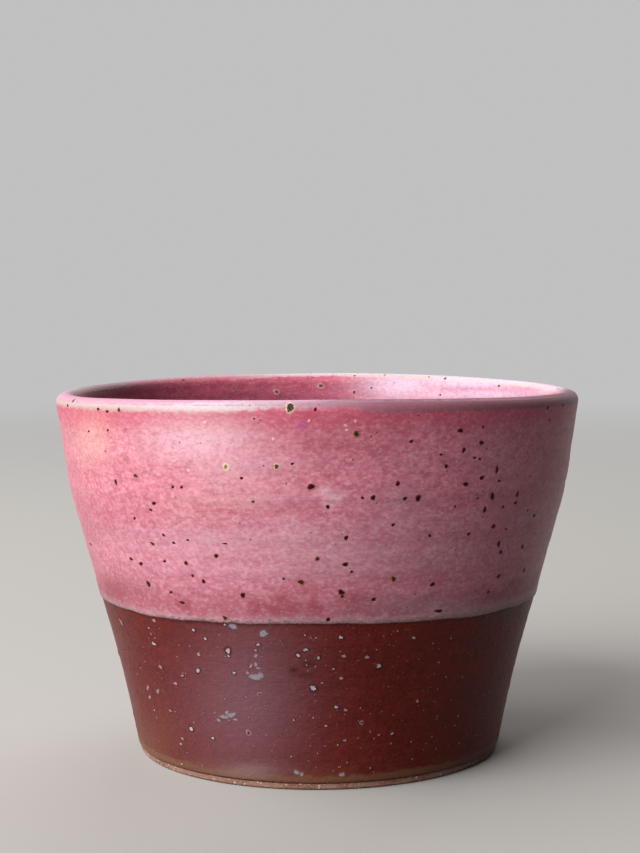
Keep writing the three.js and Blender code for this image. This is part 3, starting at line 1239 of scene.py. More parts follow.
class GlazeEffects:
    """The effects that the glazes and the clay share, each a shader node group."""

    LINE_LENGTH = 60.0
    CORE_WANDER = 0.3
    CORE_SOFTNESS = 0.07

    def __init__(self) -> None:
        """Builds every group once."""
        self.mottle = self._mottle()
        self.edge = self._edge()
        self.grit = self._grit()
        self.mark = self._mark()
        self.surface = self._surface()

    def _flecks(self, wire: EffectWiring, width: object, flatness: object, detail: float = 3.0) -> Socket:
        """Places the mottle in another effect, with flecks of a width in millimetres."""
        inputs = {"Position": wire.given["Position"], "Width": width, "Flatness": flatness, "Detail": detail}
        return wire.group(self.mottle, inputs, "Amount")

    @staticmethod
    def _mottle() -> bpy.types.NodeTree:
        """Makes cloudy flecks of a given width in millimetres, flattened along the wheel's axis.

        Returns:
            The group, whose Amount runs from 0 to 1.
        """
        usual = {"Width": 2.0, "Flatness": 2.0, "Detail": 3.0, "Contrast": 1.0}
        wire = EffectWiring("glaze_mottle", usual, {"Amount": FLOAT})
        given = wire.given
        per_metre = wire.sum("DIVIDE", 1 / MM, given["Width"])
        upward = wire.times(per_metre, given["Flatness"])
        scale = wire.put("ShaderNodeCombineXYZ", {0: per_metre, 1: per_metre, 2: upward}).outputs[0]
        scaled = wire.put("ShaderNodeVectorMath", {0: given["Position"], 1: scale}, operation="MULTIPLY")
        inputs = {"Vector": scaled.outputs[0], "Scale": 1.0, "Detail": given["Detail"], "Roughness": 0.6}
        noise = wire.put("ShaderNodeTexNoise", inputs).outputs["Fac"]
        reach = wire.sum("DIVIDE", 0.26, given["Contrast"])
        low, high = wire.minus(0.5, reach), wire.plus(0.5, reach)
        wire.give("Amount", wire.ramp(noise, low, high))
        return wire.tree

    def _edge(self) -> bpy.types.NodeTree:
        """Makes a mask that is 1 within a reach of an edge and ends raggedly, in millimetres.

        Returns:
            The group.
        """
        usual = {"Distance": 0.0, "Reach": 2.0, "Softness": 0.3, "Raggedness": 0.5}
        usual |= {"Grain": 1.5, "Flatness": 1.0}
        wire = EffectWiring("ragged_edge", usual, {"Mask": FLOAT})
        given = wire.given
        noise = self._flecks(wire, given["Grain"], given["Flatness"])
        shift = wire.times(wire.minus(noise, 0.5), given["Raggedness"])
        at = wire.plus(given["Distance"], shift)
        low = wire.minus(given["Reach"], given["Softness"])
        high = wire.plus(given["Reach"], given["Softness"])
        wire.give("Mask", wire.ramp(at, low, high, 1.0, 0.0))
        return wire.tree

    @staticmethod
    def _grit() -> bpy.types.NodeTree:
        """Makes sparse round grains: cells of a given width, of which a share holds a grain.

        Returns:
            The group.
        """
        wire = EffectWiring("fine_grit", {"Spacing": 2.0, "Share": 0.4, "Grain": 0.2}, {"Mask": FLOAT})
        given = wire.given
        scale = wire.sum("DIVIDE", 1 / MM, given["Spacing"])
        cells = wire.put("ShaderNodeTexVoronoi", {"Vector": given["Position"], "Scale": scale}).outputs
        chance = wire.put("ShaderNodeSeparateColor", {0: cells["Color"]}).outputs
        chosen = wire.sum("LESS_THAN", chance[0], given["Share"])
        size = wire.times(given["Grain"], wire.plus(0.4, chance[1]))
        grain = wire.ramp(cells["Distance"], wire.times(size, 0.6), size, 1.0, 0.0)
        wire.give("Mask", wire.times(grain, chosen))
        return wire.tree

    def _mark(self) -> bpy.types.NodeTree:
        """Lays the colours of a fired mark over the glaze, from what the mark's mesh carries.

        Returns:
            The group.
        """
        wire = EffectWiring("fired_mark", {"Glaze": COLOR}, {"Color": COLOR, "Core": FLOAT})
        depth = wire.attribute("mark_depth")
        noise = self._flecks(wire, 0.5, 1.0)
        uneven = wire.plus(depth, wire.times(wire.minus(noise, 0.5), self.CORE_WANDER))
        edge = wire.minus(1.0, wire.attribute("mark_core_reach"))
        low, high = wire.minus(edge, self.CORE_SOFTNESS), wire.plus(edge, self.CORE_SOFTNESS)
        core = wire.ramp(uneven, low, high)
        core = wire.times(core, wire.sum("GREATER_THAN", depth, 0.001))
        fade = wire.ramp(depth, 0.02, wire.times(edge, 0.9))
        ring = wire.times(fade, wire.attribute("mark_ring", "Alpha"))
        ringed = wire.blend(ring, wire.given["Glaze"], wire.attribute("mark_ring", "Color"))
        flecks = wire.ramp(self._flecks(wire, 0.28, 1.5), 0.4, 0.9, 0.0, 0.24)
        colors = (wire.attribute(carried, "Color") for carried in ("mark_core", "mark_ring"))
        wire.give("Color", wire.blend(core, ringed, wire.blend(flecks, *colors)))
        wire.give("Core", core)
        return wire.tree

    def _surface(self) -> bpy.types.NodeTree:
        """Makes a fired surface's fine height: a peel, and level lines left by tool and finger.

        Returns:
            The group, whose Height is near 0.5.
        """
        usual = {"Peel": 0.5, "Peel Width": 1.6, "Lines": 0.3, "Line Pitch": 0.7}
        wire = EffectWiring("fired_surface", usual, {"Height": FLOAT})
        given = wire.given
        peel = self._flecks(wire, given["Peel Width"], 1.3)
        long = wire.times(given["Line Pitch"], self.LINE_LENGTH)
        lines = self._flecks(wire, long, self.LINE_LENGTH, 2.0)
        wire.give("Height", wire.plus(wire.times(peel, given["Peel"]), wire.times(lines, given["Lines"])))
        return wire.tree


class FinishWiring(Wiring):
    """The wiring of one finish, with the shared effects placed in the piece's own coordinates."""

    BUMP_STRENGTH = 0.6
    GLOSS_ROUGHNESS = 0.28

    def __init__(self, name: str, effects: GlazeEffects) -> None:
        """Starts a material.

        Args:
            name: Its name.
            effects: The shared node groups.
        """
        self.material = bpy.data.materials.new(name)
        super().__init__(emptied(self.material))
        self.effects = effects
        self.position = self.put("ShaderNodeTexCoord").outputs["Object"]

    def coordinates(self) -> bpy.types.NodeOutputs:
        """Gives how far to the right, back and up a place lies, in metres."""
        return self.put("ShaderNodeSeparateXYZ", {0: self.position}).outputs

    def mottle(
        self, width: float, flatness: float = 1.0, detail: float = 3.0, contrast: float = 1.0
    ) -> Socket:
        """Places cloudy flecks of a width in millimetres, flattened along the wheel's axis."""
        inputs = {"Width": width, "Flatness": flatness, "Detail": detail, "Contrast": contrast}
        return self.group(self.effects.mottle, {"Position": self.position, **inputs}, "Amount")

    def edge(
        self,
        distance: Socket,
        reach: object,
        softness: float,
        raggedness: float,
        grain: float,
        flatness: float = 1.4,
    ) -> Socket:
        """Places a mask that is 1 within a reach of an edge.

        Args:
            distance: The distance from the edge, in millimetres.
            reach: Where the mask ends.
            softness: Half the width over which it ends.
            raggedness: How far its end wanders.
            grain: The width of the wanderings.
            flatness: How much they are flattened.

        Returns:
            The mask.
        """
        inputs = {"Distance": distance, "Reach": reach, "Softness": softness, "Raggedness": raggedness}
        inputs |= {"Position": self.position, "Grain": grain, "Flatness": flatness}
        return self.group(self.effects.edge, inputs, "Mask")

    def grit(self, spacing: float, share: float, grain: float) -> Socket:
        """Places sparse round grains, a share of the cells of a spacing in millimetres."""
        inputs = {"Position": self.position, "Spacing": spacing, "Share": share, "Grain": grain}
        return self.group(self.effects.grit, inputs, "Mask")

    def marked(self, glaze: Socket) -> tuple[Socket, Socket]:
        """Lays the fired marks over a glaze, and gives the colour and the mask of their cores.

        Args:
            glaze: The glaze's colour.

        Returns:
            The colour with the marks on it, and the mask of their cores.
        """
        inputs = {"Position": self.position, "Glaze": glaze}
        made = self.put("ShaderNodeGroup", inputs, node_tree=self.effects.mark).outputs
        return made["Color"], made["Core"]

    def surface(self, peel: float, peel_width: float, lines: float, line_pitch: float) -> Socket:
        """Places the fired surface's fine height."""
        inputs = {"Peel": peel, "Peel Width": peel_width, "Lines": lines, "Line Pitch": line_pitch}
        return self.group(self.effects.surface, {"Position": self.position, **inputs}, "Height")

    def over(self, mask: Socket, most: float, under: Socket, color: Socket | str) -> Socket:
        """Lays a colour over another where a mask says, at most by a share."""
        return self.blend(self.times(mask, most), under, color)

    def patch(self, tint: "Tint") -> Socket:
        """Reads how strong a soft patch is, which the mesh carries."""
        return self.attribute(tint.name.lower())

    def tinted(self, body: Socket, tints: Sequence["Tint"]) -> Socket:
        """Lays soft patches over a glaze, where the mesh carries them."""
        for tint in tints:
            body = self.blend(self.patch(tint), body, tint.value)
        return body

    def fired(
        self, color: Socket, rough: Socket, height: Socket, depth: float, specular: float, gloss: object = 0.0
    ) -> bpy.types.Material:
        """Ends the finish in its shader.

        Args:
            color: The colour.
            rough: The roughness.
            height: The fine height.
            depth: How deep that height is, in metres.
            specular: The even strength of its reflections.
            gloss: Where a clear gloss lies over it.

        Returns:
            The material.
        """
        inputs = {"Strength": self.BUMP_STRENGTH, "Distance": depth, "Height": height}
        bump = self.put("ShaderNodeBump", inputs)
        inputs = {"Base Color": color, "Roughness": rough, "Normal": bump.outputs[0]}
        inputs |= {"Specular IOR Level": specular}
        inputs |= {"Coat Weight": gloss, "Coat Roughness": self.GLOSS_ROUGHNESS}
        shader = self.put("ShaderNodeBsdfPrincipled", inputs)
        self.put("ShaderNodeOutputMaterial", {"Surface": shader.outputs[0]})
        return self.material


class Tint(Enum):
    """The colours of the soft patches on the glazes: some are tones of the glazes themselves, and some are
    painted highlights, painted reflections and painted shade, wholly or in part.
    """

    # Partly pale blotches of the glaze, partly a painted highlight.
    MILK = "f5ccd4"
    # Partly a painted highlight along the outer wall's left edge.
    PEACH = "eeb9a0"
    BLUSH = "a2384a"
    VIOLET = "a8559c"
    LILAC = "b2959d"
    # Painted reflection of the lamps on the inner wall and rim at the right of the back.
    FROST = "d4bcd2"
    # Partly the glaze breaking thin, partly a painted warm reflection.
    OCHRE = "7c4b2e"
    # A mauve tone on the pink, and a painted sheen over the left of the red coat.
    MAUVE = "80565f"
    # Painted shade on the inner wall at the left of the back.
    WINE = "522733"
    # Painted highlight on the bead above the foot.
    ASHEN = "a08482"
    # A darker patch on the red coat.
    SOOT = "4a3328"
    # Painted shade in a crumpled spot of the red coat.
    CREASE = "3d0c0a"


MILK, PEACH, BLUSH, VIOLET, LILAC, FROST, OCHRE, MAUVE, WINE, ASHEN, SOOT, CREASE = Tint


@dataclass(frozen=True)
class PinkGlaze:
    """The pink glaze: finely mottled rose, cream where it breaks over the lip and at the dip line."""

    name: str
    rose: str = "d67a8b"
    deep: str = "b8596d"
    pale: str = "ecb8c6"
    lilac: str = "c28c9b"
    liner_rose: str = "b9536c"
    liner_deep: str = "993450"
    under_lip: str = "c64862"
    lap_rose: str = "96424e"
    lip_cream: str = "d3c0b6"
    lip_white: str = "d0c4d0"
    lip_crest: str = "c98aa3"
    # Painted shade on the lip at the right of the front.
    lip_shade: str = "885a6c"
    lip_deep_shade: str = "6a4852"
    lip_worn: str = "a08578"
    lip_line: str = "8c727a"
    # Painted shade on the crest at the right of the front.
    crest_shade: str = "5a2a3d"
    faded: str = "b59aa0"
    fringe: str = "7d6961"
    fringe_rose: str = "94716f"
    fringe_line: str = "3f241c"
    roughness: float = 0.42
    specular: float = 0.2
    bump: float = 0.1 * MM

    def build(self, effects: GlazeEffects) -> bpy.types.Material:
        """Makes the material.

        Args:
            effects: The shared node groups.

        Returns:
            The material.
        """
        wire = FinishWiring(self.name, effects)
        from_crest, above_dip = wire.attribute("from_crest"), wire.attribute("above_dip")
        fleck = wire.mottle(1.45, flatness=1.3, detail=4.0, contrast=1.35)
        body = self._mottled(wire, fleck, from_crest)
        inside = wire.ramp(from_crest, -0.6, -4.5)
        within = wire.ramp(wire.mottle(4.0, flatness=1.9, contrast=1.1), 0.1, 0.9)
        within = wire.blend(within, self.liner_deep, self.liner_rose)
        body = wire.over(inside, 0.85, body, within)
        body = self._dip_line(wire, body, above_dip)
        below_lip = wire.edge(from_crest, 8.6, softness=2.6, raggedness=2.6, grain=7.0)
        below_lip = wire.times(below_lip, wire.minus(1.0, inside))
        body = wire.over(below_lip, 0.6, body, self.under_lip)
        # Soft patches: tones of the glaze, and painted highlights, reflections and shade.
        body = wire.tinted(body, (MILK, PEACH, BLUSH, VIOLET, LILAC, MAUVE, FROST, WINE))
        crystals = wire.mottle(1.25, flatness=1.6, detail=5.0, contrast=1.15)
        # No pale crystals within the painted shade on the inner wall.
        clear = wire.minus(1.0, wire.patch(WINE))
        body = wire.over(wire.times(wire.ramp(crystals, 0.5, 1.0), clear), 0.22, body, self.pale)
        body = wire.over(wire.ramp(crystals, 0.55, 0.0), 0.36, body, self.deep)
        body = self._lip(wire, body, from_crest)
        body = wire.over(wire.grit(2.6, share=0.3, grain=0.1), 0.7, body, self.fringe_line)
        color, core = wire.marked(body)
        rough = wire.plus(self.roughness - 0.04, wire.times(fleck, 0.08))
        rough = wire.plus(rough, wire.times(core, 0.1))
        across = wire.coordinates()[0]
        gloss = wire.times(inside, wire.ramp(across, -0.06, -0.03, 0.05, 0.45))
        height = wire.surface(peel=0.55, peel_width=1.5, lines=0.3, line_pitch=0.8)
        return wire.fired(color, rough, height, self.bump, self.specular, gloss)

    def _mottled(self, wire: FinishWiring, fleck: Socket, from_crest: Socket) -> Socket:
        """Mottles the glaze, greyer low on the wall, deeper in hollows and paler on ridges.

        Args:
            wire: The finish's wiring.
            fleck: The finest flecks.
            from_crest: The distance from the lip's crest.

        Returns:
            The colour.
        """
        patch = wire.mottle(3.6, flatness=1.9, contrast=1.1)
        body = wire.blend(wire.ramp(patch, 0.05, 0.75), self.deep, self.rose)
        body = wire.over(wire.ramp(from_crest, 24.0, 42.0), 0.32, body, self.lilac)
        body = wire.over(wire.ramp(fleck, 0.5, 1.0), 0.34, body, self.pale)
        body = wire.over(wire.ramp(fleck, 0.45, 0.0), 0.38, body, self.deep)
        vein = wire.sum("ABSOLUTE", wire.minus(wire.mottle(2.6, flatness=1.1, contrast=0.7), 0.5))
        body = wire.over(wire.ramp(vein, 0.0, 0.07, 1.0, 0.0), 0.1, body, self.pale)
        cloud = wire.mottle(12.0, flatness=1.4, detail=2.0)
        body = wire.over(wire.ramp(cloud, 0.4, 1.0), 0.3, body, self.deep)
        body = wire.over(wire.mottle(80.0, flatness=18.0, detail=2.0), 0.16, body, self.pale)
        relief = wire.attribute("relief")
        body = wire.over(wire.ramp(relief, -0.05, -0.35), 0.4, body, self.deep)
        return wire.over(wire.ramp(relief, 0.08, 0.35), 0.35, body, self.pale)

    def _dip_line(self, wire: FinishWiring, body: Socket, above_dip: Socket) -> Socket:
        """Deepens the lap, fades the glaze below it and ends it in a grey fringe and a dark line.

        Args:
            wire: The finish's wiring.
            body: The glaze.
            above_dip: The height above the dip line.

        Returns:
            The colour.
        """
        across = wire.coordinates()[0]
        uneven = wire.ramp(wire.mottle(13.0, flatness=1.3), 0.3, 0.7, 0.62, 1.0)
        lap = wire.times(wire.edge(above_dip, 7.9, softness=2.4, raggedness=3.0, grain=6.0), uneven)
        faded_to = wire.sum("MULTIPLY_ADD", across, 8.0, 2.3)
        faded = wire.edge(above_dip, faded_to, softness=1.4, raggedness=1.6, grain=3.0)
        body = wire.over(lap, 0.88, body, self.lap_rose)
        body = wire.over(faded, 0.55, body, self.faded)
        fringe_to = wire.sum("MULTIPLY_ADD", across, 9.0, 1.1)
        fringe = wire.edge(above_dip, fringe_to, softness=0.3, raggedness=1.1, grain=1.4)
        tone = wire.blend(wire.mottle(0.8), self.fringe, self.fringe_rose)
        body = wire.blend(wire.times(fringe, 0.85), body, tone)
        dots = wire.times(wire.grit(0.9, share=0.6, grain=0.24), fringe)
        body = wire.over(dots, 0.8, body, self.fringe_line)
        # A dark line along the coat's edge, partly iron at the edge and partly painted shadow of the coat's
        # ledge.
        line = wire.edge(above_dip, 0.3, softness=0.16, raggedness=0.4, grain=1.2)
        return wire.over(line, 0.9, body, self.fringe_line)

    def _lip(self, wire: FinishWiring, body: Socket, from_crest: Socket) -> Socket:
        """Breaks the glaze over the lip: rose on the crest, white and cream beside it.

        The break is wider outside than inside and wider towards -x, and a fine worn line runs
        along it. At the right of the front it is dulled and darkened as painted shade, and at the
        left of the back it is left out, which leaves the rose there as painted shade. The crest's
        rose fades towards the back, where the pale break stands as a partly painted highlight.

        Args:
            wire: The finish's wiring.
            body: The glaze.
            from_crest: The distance from the crest, positive outside.

        Returns:
            The colour.
        """
        away = wire.sum("MAXIMUM", wire.times(from_crest, 0.56), wire.times(from_crest, -1.0))
        place = wire.coordinates()
        middle = wire.sum("ABSOLUTE", wire.plus(place[0], 0.002))
        reach = wire.ramp(middle, 0.008, 0.022, 1.85, 2.45)
        # Painted shade at the right of the front of the lip.
        front_right_shade = wire.times(wire.ramp(place[0], -0.03, 0.02), wire.ramp(place[1], 0.012, -0.012))
        left_back = wire.minus(place[1], place[0])
        # The break is left out at the left of the back, as painted shade.
        share = wire.ramp(left_back, 0.078, 0.106, 0.9, 0.08)
        share = wire.times(share, wire.ramp(front_right_shade, 0.0, 1.0, 1.0, 0.85))
        # The crest's rose fades towards the back, leaving the pale break there as a painted highlight.
        rosy = wire.ramp(place[1], -0.03, 0.012, 0.85, 0.2)
        streak = wire.mottle(26.0, flatness=60.0, contrast=1.4)
        tone = wire.blend(wire.ramp(away, 1.2, 2.4), self.lip_white, self.lip_cream)
        tone = wire.over(streak, 0.22, tone, self.lip_crest)
        tone = wire.over(wire.ramp(place[0], -0.03, -0.06), 0.45, tone, self.lip_worn)
        worn = wire.ramp(wire.mottle(0.9, flatness=2.2, detail=4.0, contrast=1.3), 0.55, 1.0)
        tone = wire.over(worn, 0.4, tone, self.lip_worn)
        # The shaded tone darkens further to the right, as painted shade.
        shaded_tone = wire.blend(wire.ramp(place[0], 0.01, 0.06), self.lip_shade, self.lip_deep_shade)
        tone = wire.blend(wire.times(front_right_shade, 0.95), tone, shaded_tone)
        from_line = wire.sum("ABSOLUTE", wire.minus(from_crest, 2.6))
        line = wire.edge(from_line, 0.12, softness=0.1, raggedness=0.3, grain=2.5)
        tone = wire.over(line, 0.5, tone, self.lip_line)
        broken = wire.edge(away, reach, softness=0.3, raggedness=0.6, grain=2.0, flatness=2.0)
        body = wire.blend(wire.times(broken, share), body, tone)
        # The crest darkens at the right of the front, as painted shade.
        crest = wire.blend(wire.ramp(front_right_shade, 0.45, 1.0), self.lip_crest, self.crest_shade)
        crest_reach = wire.ramp(place[0], -0.05, -0.01, 1.35, 0.75)
        on_crest = wire.edge(away, crest_reach, softness=0.35, raggedness=0.5, grain=3.0)
        return wire.blend(wire.times(on_crest, rosy), body, crest)


@dataclass(frozen=True)
class IronRedGlaze:
    """The iron-red glaze: glossy deep red, ochre and gold towards the foot, partly where it thins and partly
    as a painted warm reflection, with a painted sheen, and blistered.
    """

    name: str = "iron_red_glaze_finish"
    red: str = "6d211b"
    dark: str = "46120f"
    brick: str = "742a20"
    ochre: str = "7c4c35"
    gold_and_reflection: str = "79553f"
    ash: str = "7d6463"
    roughness: float = 0.36
    bump: float = 0.2 * MM

    def build(self, effects: GlazeEffects) -> bpy.types.Material:
        """Makes the material.

        Args:
            effects: The shared node groups.

        Returns:
            The material.
        """
        wire = FinishWiring(self.name, effects)
        above_foot, above_dip = wire.attribute("above_foot"), wire.attribute("above_dip")
        fine = wire.mottle(0.9, flatness=1.3, detail=4.0, contrast=1.4)
        cloud = wire.mottle(16.0, flatness=1.2)
        body = wire.blend(wire.times(fine, 0.8), self.red, self.dark)
        patch = wire.ramp(wire.mottle(3.4, flatness=1.5, contrast=1.2), 0.5, 1.0)
        body = wire.over(patch, 0.45, body, self.brick)
        body = wire.over(wire.ramp(cloud, 0.35, 1.0), 0.3, body, self.brick)
        body = wire.over(wire.mottle(50.0, flatness=45.0), 0.22, body, self.dark)
        # Soft patches: a partly painted warm reflection, a painted sheen, a darker patch and painted shade in
        # a crumple.
        body = wire.tinted(body, (OCHRE, MAUVE, SOOT, CREASE))
        # Warmer towards the foot, partly the glaze breaking thin and partly a painted warm reflection.
        foot_warmth = wire.edge(above_foot, 5.0, softness=3.0, raggedness=4.0, grain=12.0)
        foot_warmth = wire.times(foot_warmth, wire.ramp(cloud, 0.3, 1.0))
        body = wire.over(foot_warmth, 0.3, body, self.ochre)
        # A gold band just above the foot's edge, partly the glaze breaking thin and partly a painted warm
        # reflection.
        gold_and_reflection = wire.edge(above_foot, 2.5, softness=0.5, raggedness=0.9, grain=4.0)
        gold_and_reflection = wire.times(gold_and_reflection, wire.ramp(fine, 0.0, 1.0, 0.6, 1.0))
        body = wire.over(gold_and_reflection, 0.85, body, self.gold_and_reflection)
        # A painted highlight on the bead above the foot.
        body = wire.tinted(body, (ASHEN,))
        # A dark hem at the red coat's foot edge: partly dark iron where the glaze ends, partly painted shadow
        # under its bead.
        hem_iron_and_shade = wire.edge(above_foot, 0.5, softness=0.15, raggedness=0.3, grain=1.2)
        body = wire.over(hem_iron_and_shade, 0.85, body, self.dark)
        # Darker red just under the pink coat's edge, partly painted shade under its ledge.
        body = wire.over(wire.ramp(above_dip, -1.2, -0.1), 0.5, body, self.dark)
        pinholes = wire.grit(1.5, share=0.5, grain=0.15)
        body = wire.over(pinholes, 0.6, body, self.ash)
        # Pale flecks only within the painted sheen, as part of it.
        worn = wire.ramp(wire.mottle(1.7, flatness=3.0, detail=4.0, contrast=1.2), 0.62, 1.0)
        body = wire.over(wire.times(worn, wire.patch(MAUVE)), 0.3, body, self.ash)
        color, core = wire.marked(body)
        rough = wire.sum("MULTIPLY_ADD", cloud, 0.08, self.roughness)
        rough = wire.plus(rough, wire.times(core, 0.12))
        height = wire.surface(peel=0.75, peel_width=2.2, lines=0.14, line_pitch=0.9)
        height = wire.minus(height, wire.times(pinholes, 0.4))
        return wire.fired(color, rough, height, self.bump, 0.12)


@dataclass(frozen=True)
class BareStoneware:
    """The unglazed clay: matte, pinkish brown, gritty with white and rusty grains."""

    name: str = "bare_stoneware_finish"
    clay: str = "a57e70"
    toasted: str = "875848"
    pale: str = "bd9d88"
    white: str = "e0d3c4"
    rust: str = "4b2a1f"
    roughness: float = 0.85
    bump: float = 0.2 * MM

    def build(self, effects: GlazeEffects) -> bpy.types.Material:
        """Makes the material.

        Args:
            effects: The shared node groups.

        Returns:
            The material.
        """
        wire = FinishWiring(self.name, effects)
        body = wire.blend(wire.mottle(9.0), self.clay, self.toasted)
        body = wire.over(wire.ramp(wire.mottle(0.7), 0.45, 1.0), 0.6, body, self.pale)
        white = wire.grit(0.9, share=0.35, grain=0.32)
        body = wire.over(white, 0.8, body, self.white)
        body = wire.over(wire.grit(2.3, share=0.35, grain=0.16), 1.0, body, self.rust)
        height = wire.surface(peel=0.8, peel_width=0.5, lines=0.3, line_pitch=0.5)
        height = wire.plus(height, wire.times(white, 0.5))
        rough = wire.sum("MULTIPLY_ADD", white, -0.15, self.roughness)
        return wire.fired(body, rough, height, self.bump, 0.3)


@dataclass(frozen=True)
class Bloom:
    """A soft patch on a glaze, at a place and of a size in the photograph's pixels: a tone of the glaze, or
    painted light, as its tint says.

    Behind is true for a patch on the far side of the bowl.
    """

    tint: Tint
    x: float
    y: float
    wide: float
    tall: float
    strength: float
    behind: bool = False


# The pale patches at the right of the back are a painted reflection on the inner wall and rim, and the dark
# patches at its left are painted shade.
LINER_BLOOMS = (
    Bloom(FROST, 400, 386, 40, 13, 0.85, True),
    Bloom(FROST, 470, 382, 80, 9, 0.85, True),
    Bloom(FROST, 564, 388, 22, 9, 0.95, True),
    Bloom(FROST, 425, 392, 36, 9, 0.6, True),
    Bloom(FROST, 480, 394, 85, 7, 0.75, True),
    Bloom(MILK, 553, 390, 16, 5, 0.8, True),
    Bloom(WINE, 105, 388, 65, 14, 0.95, True),
    Bloom(WINE, 130, 398, 75, 8, 0.6, True),
    Bloom(WINE, 270, 398, 85, 10, 0.45, True),
)

PINK_BLOOMS = LINER_BLOOMS + (
    # The first three milk patches lay a painted highlight at the upper left of the outer wall, and the first
    # peach patch one along its left edge; the small milk patches near the middle are pale blotches of the
    # glaze.
    Bloom(MILK, 198, 438, 58, 25, 0.62),
    Bloom(MILK, 152, 436, 36, 22, 0.2),
    Bloom(MILK, 232, 465, 48, 22, 0.32),
    Bloom(MILK, 262, 501, 22, 14, 0.2),
    Bloom(MILK, 290, 538, 30, 16, 0.22),
    Bloom(MILK, 325, 491, 6.5, 5, 0.6),
    Bloom(MILK, 334, 498, 8, 5.5, 0.65),
    Bloom(MILK, 342, 494, 4, 4.5, 0.35),
    Bloom(MILK, 330, 504, 7, 3.5, 0.35),
    Bloom(BLUSH, 93, 525, 24, 32, 0.2),
    Bloom(MILK, 215, 545, 60, 18, 0.2),
    Bloom(MILK, 315, 548, 50, 22, 0.16),
    Bloom(PEACH, 92, 440, 19, 27, 0.45),
    Bloom(PEACH, 210, 505, 55, 10, 0.14),
    Bloom(BLUSH, 116, 585, 30, 12, 0.4),
    Bloom(MAUVE, 122, 588, 34, 14, 0.3),
    Bloom(BLUSH, 300, 591, 45, 8, 0.3),
    Bloom(BLUSH, 410, 580, 70, 8, 0.25),
    Bloom(BLUSH, 252, 510, 60, 4, 0.2),
    Bloom(BLUSH, 345, 444, 55, 16, 0.3),
    Bloom(BLUSH, 268.5, 503, 4.5, 3.5, 0.45),
    Bloom(BLUSH, 285, 510, 4, 3, 0.35),
    Bloom(BLUSH, 329, 477, 6, 4.5, 0.5),
    Bloom(BLUSH, 530, 527, 4, 6, 0.4),
    Bloom(VIOLET, 302, 425, 5, 4.5, 0.45),
    Bloom(LILAC, 440, 606, 75, 9, 0.5),
    Bloom(LILAC, 390, 560, 70, 18, 0.22),
    Bloom(LILAC, 500, 470, 30, 45, 0.2),
    Bloom(LILAC, 405, 505, 34, 26, 0.3),
    Bloom(BLUSH, 400, 436, 45, 22, 0.14),
)

# The ochre patches at the lower left are partly the glaze breaking thin and partly a painted warm reflection.
# The large mauve patch is a painted sheen, the ashen one a painted highlight on the bead above the foot, and
# the crease patches painted shade in a crumpled spot. The last one is a darker patch at the right.
RED_BLOOMS = (
    Bloom(OCHRE, 155, 748, 24, 34, 0.4),
    Bloom(OCHRE, 200, 766, 30, 10, 0.3),
    Bloom(MAUVE, 246, 700, 62, 90, 0.8),
    Bloom(ASHEN, 250, 771, 30, 8, 0.4),
    Bloom(CREASE, 294, 670, 6, 4, 0.7),
    Bloom(CREASE, 308, 664, 7, 3.5, 0.6),
    Bloom(CREASE, 304, 675, 11, 2.5, 0.5),
    Bloom(SOOT, 512, 612, 14, 10, 0.6),
)


def dress(mesh: bpy.types.Mesh, finish: bpy.types.Material, stands_for: str = "") -> None:
    """Makes a piece of the bowl from a mesh, says what it rides on, and hides the CAD node that it stands
    for.

    Args:
        mesh: Its mesh, whose name it takes.
        finish: Its material.
        stands_for: The CAD node that it stands for, if any.
    """
    mesh.materials.append(finish)
    piece = shown(mesh.name, mesh)
    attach(piece, "root")
    if stands_for:
        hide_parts(stands_for)
    log.info("%s: %d faces", piece.name, len(mesh.polygons))


def paint(mesh: bpy.types.Mesh, blooms: Sequence[Bloom], camera: Photograph) -> None:
    """Gives a mesh soft patches on the near side or the far side, each a bell round its place.

    Args:
        mesh: The glaze.
        blooms: The patches.
        camera: The photograph's camera.
    """
    points = np.empty(len(mesh.vertices) * 3)
    mesh.vertices.foreach_get("co", points)
    points = points.reshape(-1, 3)
    across, down = camera.seen(points)
    near, far_side = (smoothstep(side * points[:, 1], 0.0, SIDE_FADE) for side in (-1, 1))
    for tint in sorted({bloom.tint for bloom in blooms}, key=lambda tint: tint.name):
        patch = np.zeros(len(points))
        for bloom in (b for b in blooms if b.tint is tint):
            far = ((across - bloom.x) / bloom.wide) ** 2 + ((down - bloom.y) / bloom.tall) ** 2
            patch = np.maximum(patch, bloom.strength * np.exp(-far) * (far_side if bloom.behind else near))
        carried = mesh.attributes.new(tint.name.lower(), "FLOAT", "POINT")
        carried.data.foreach_set("value", patch.astype(np.float32))


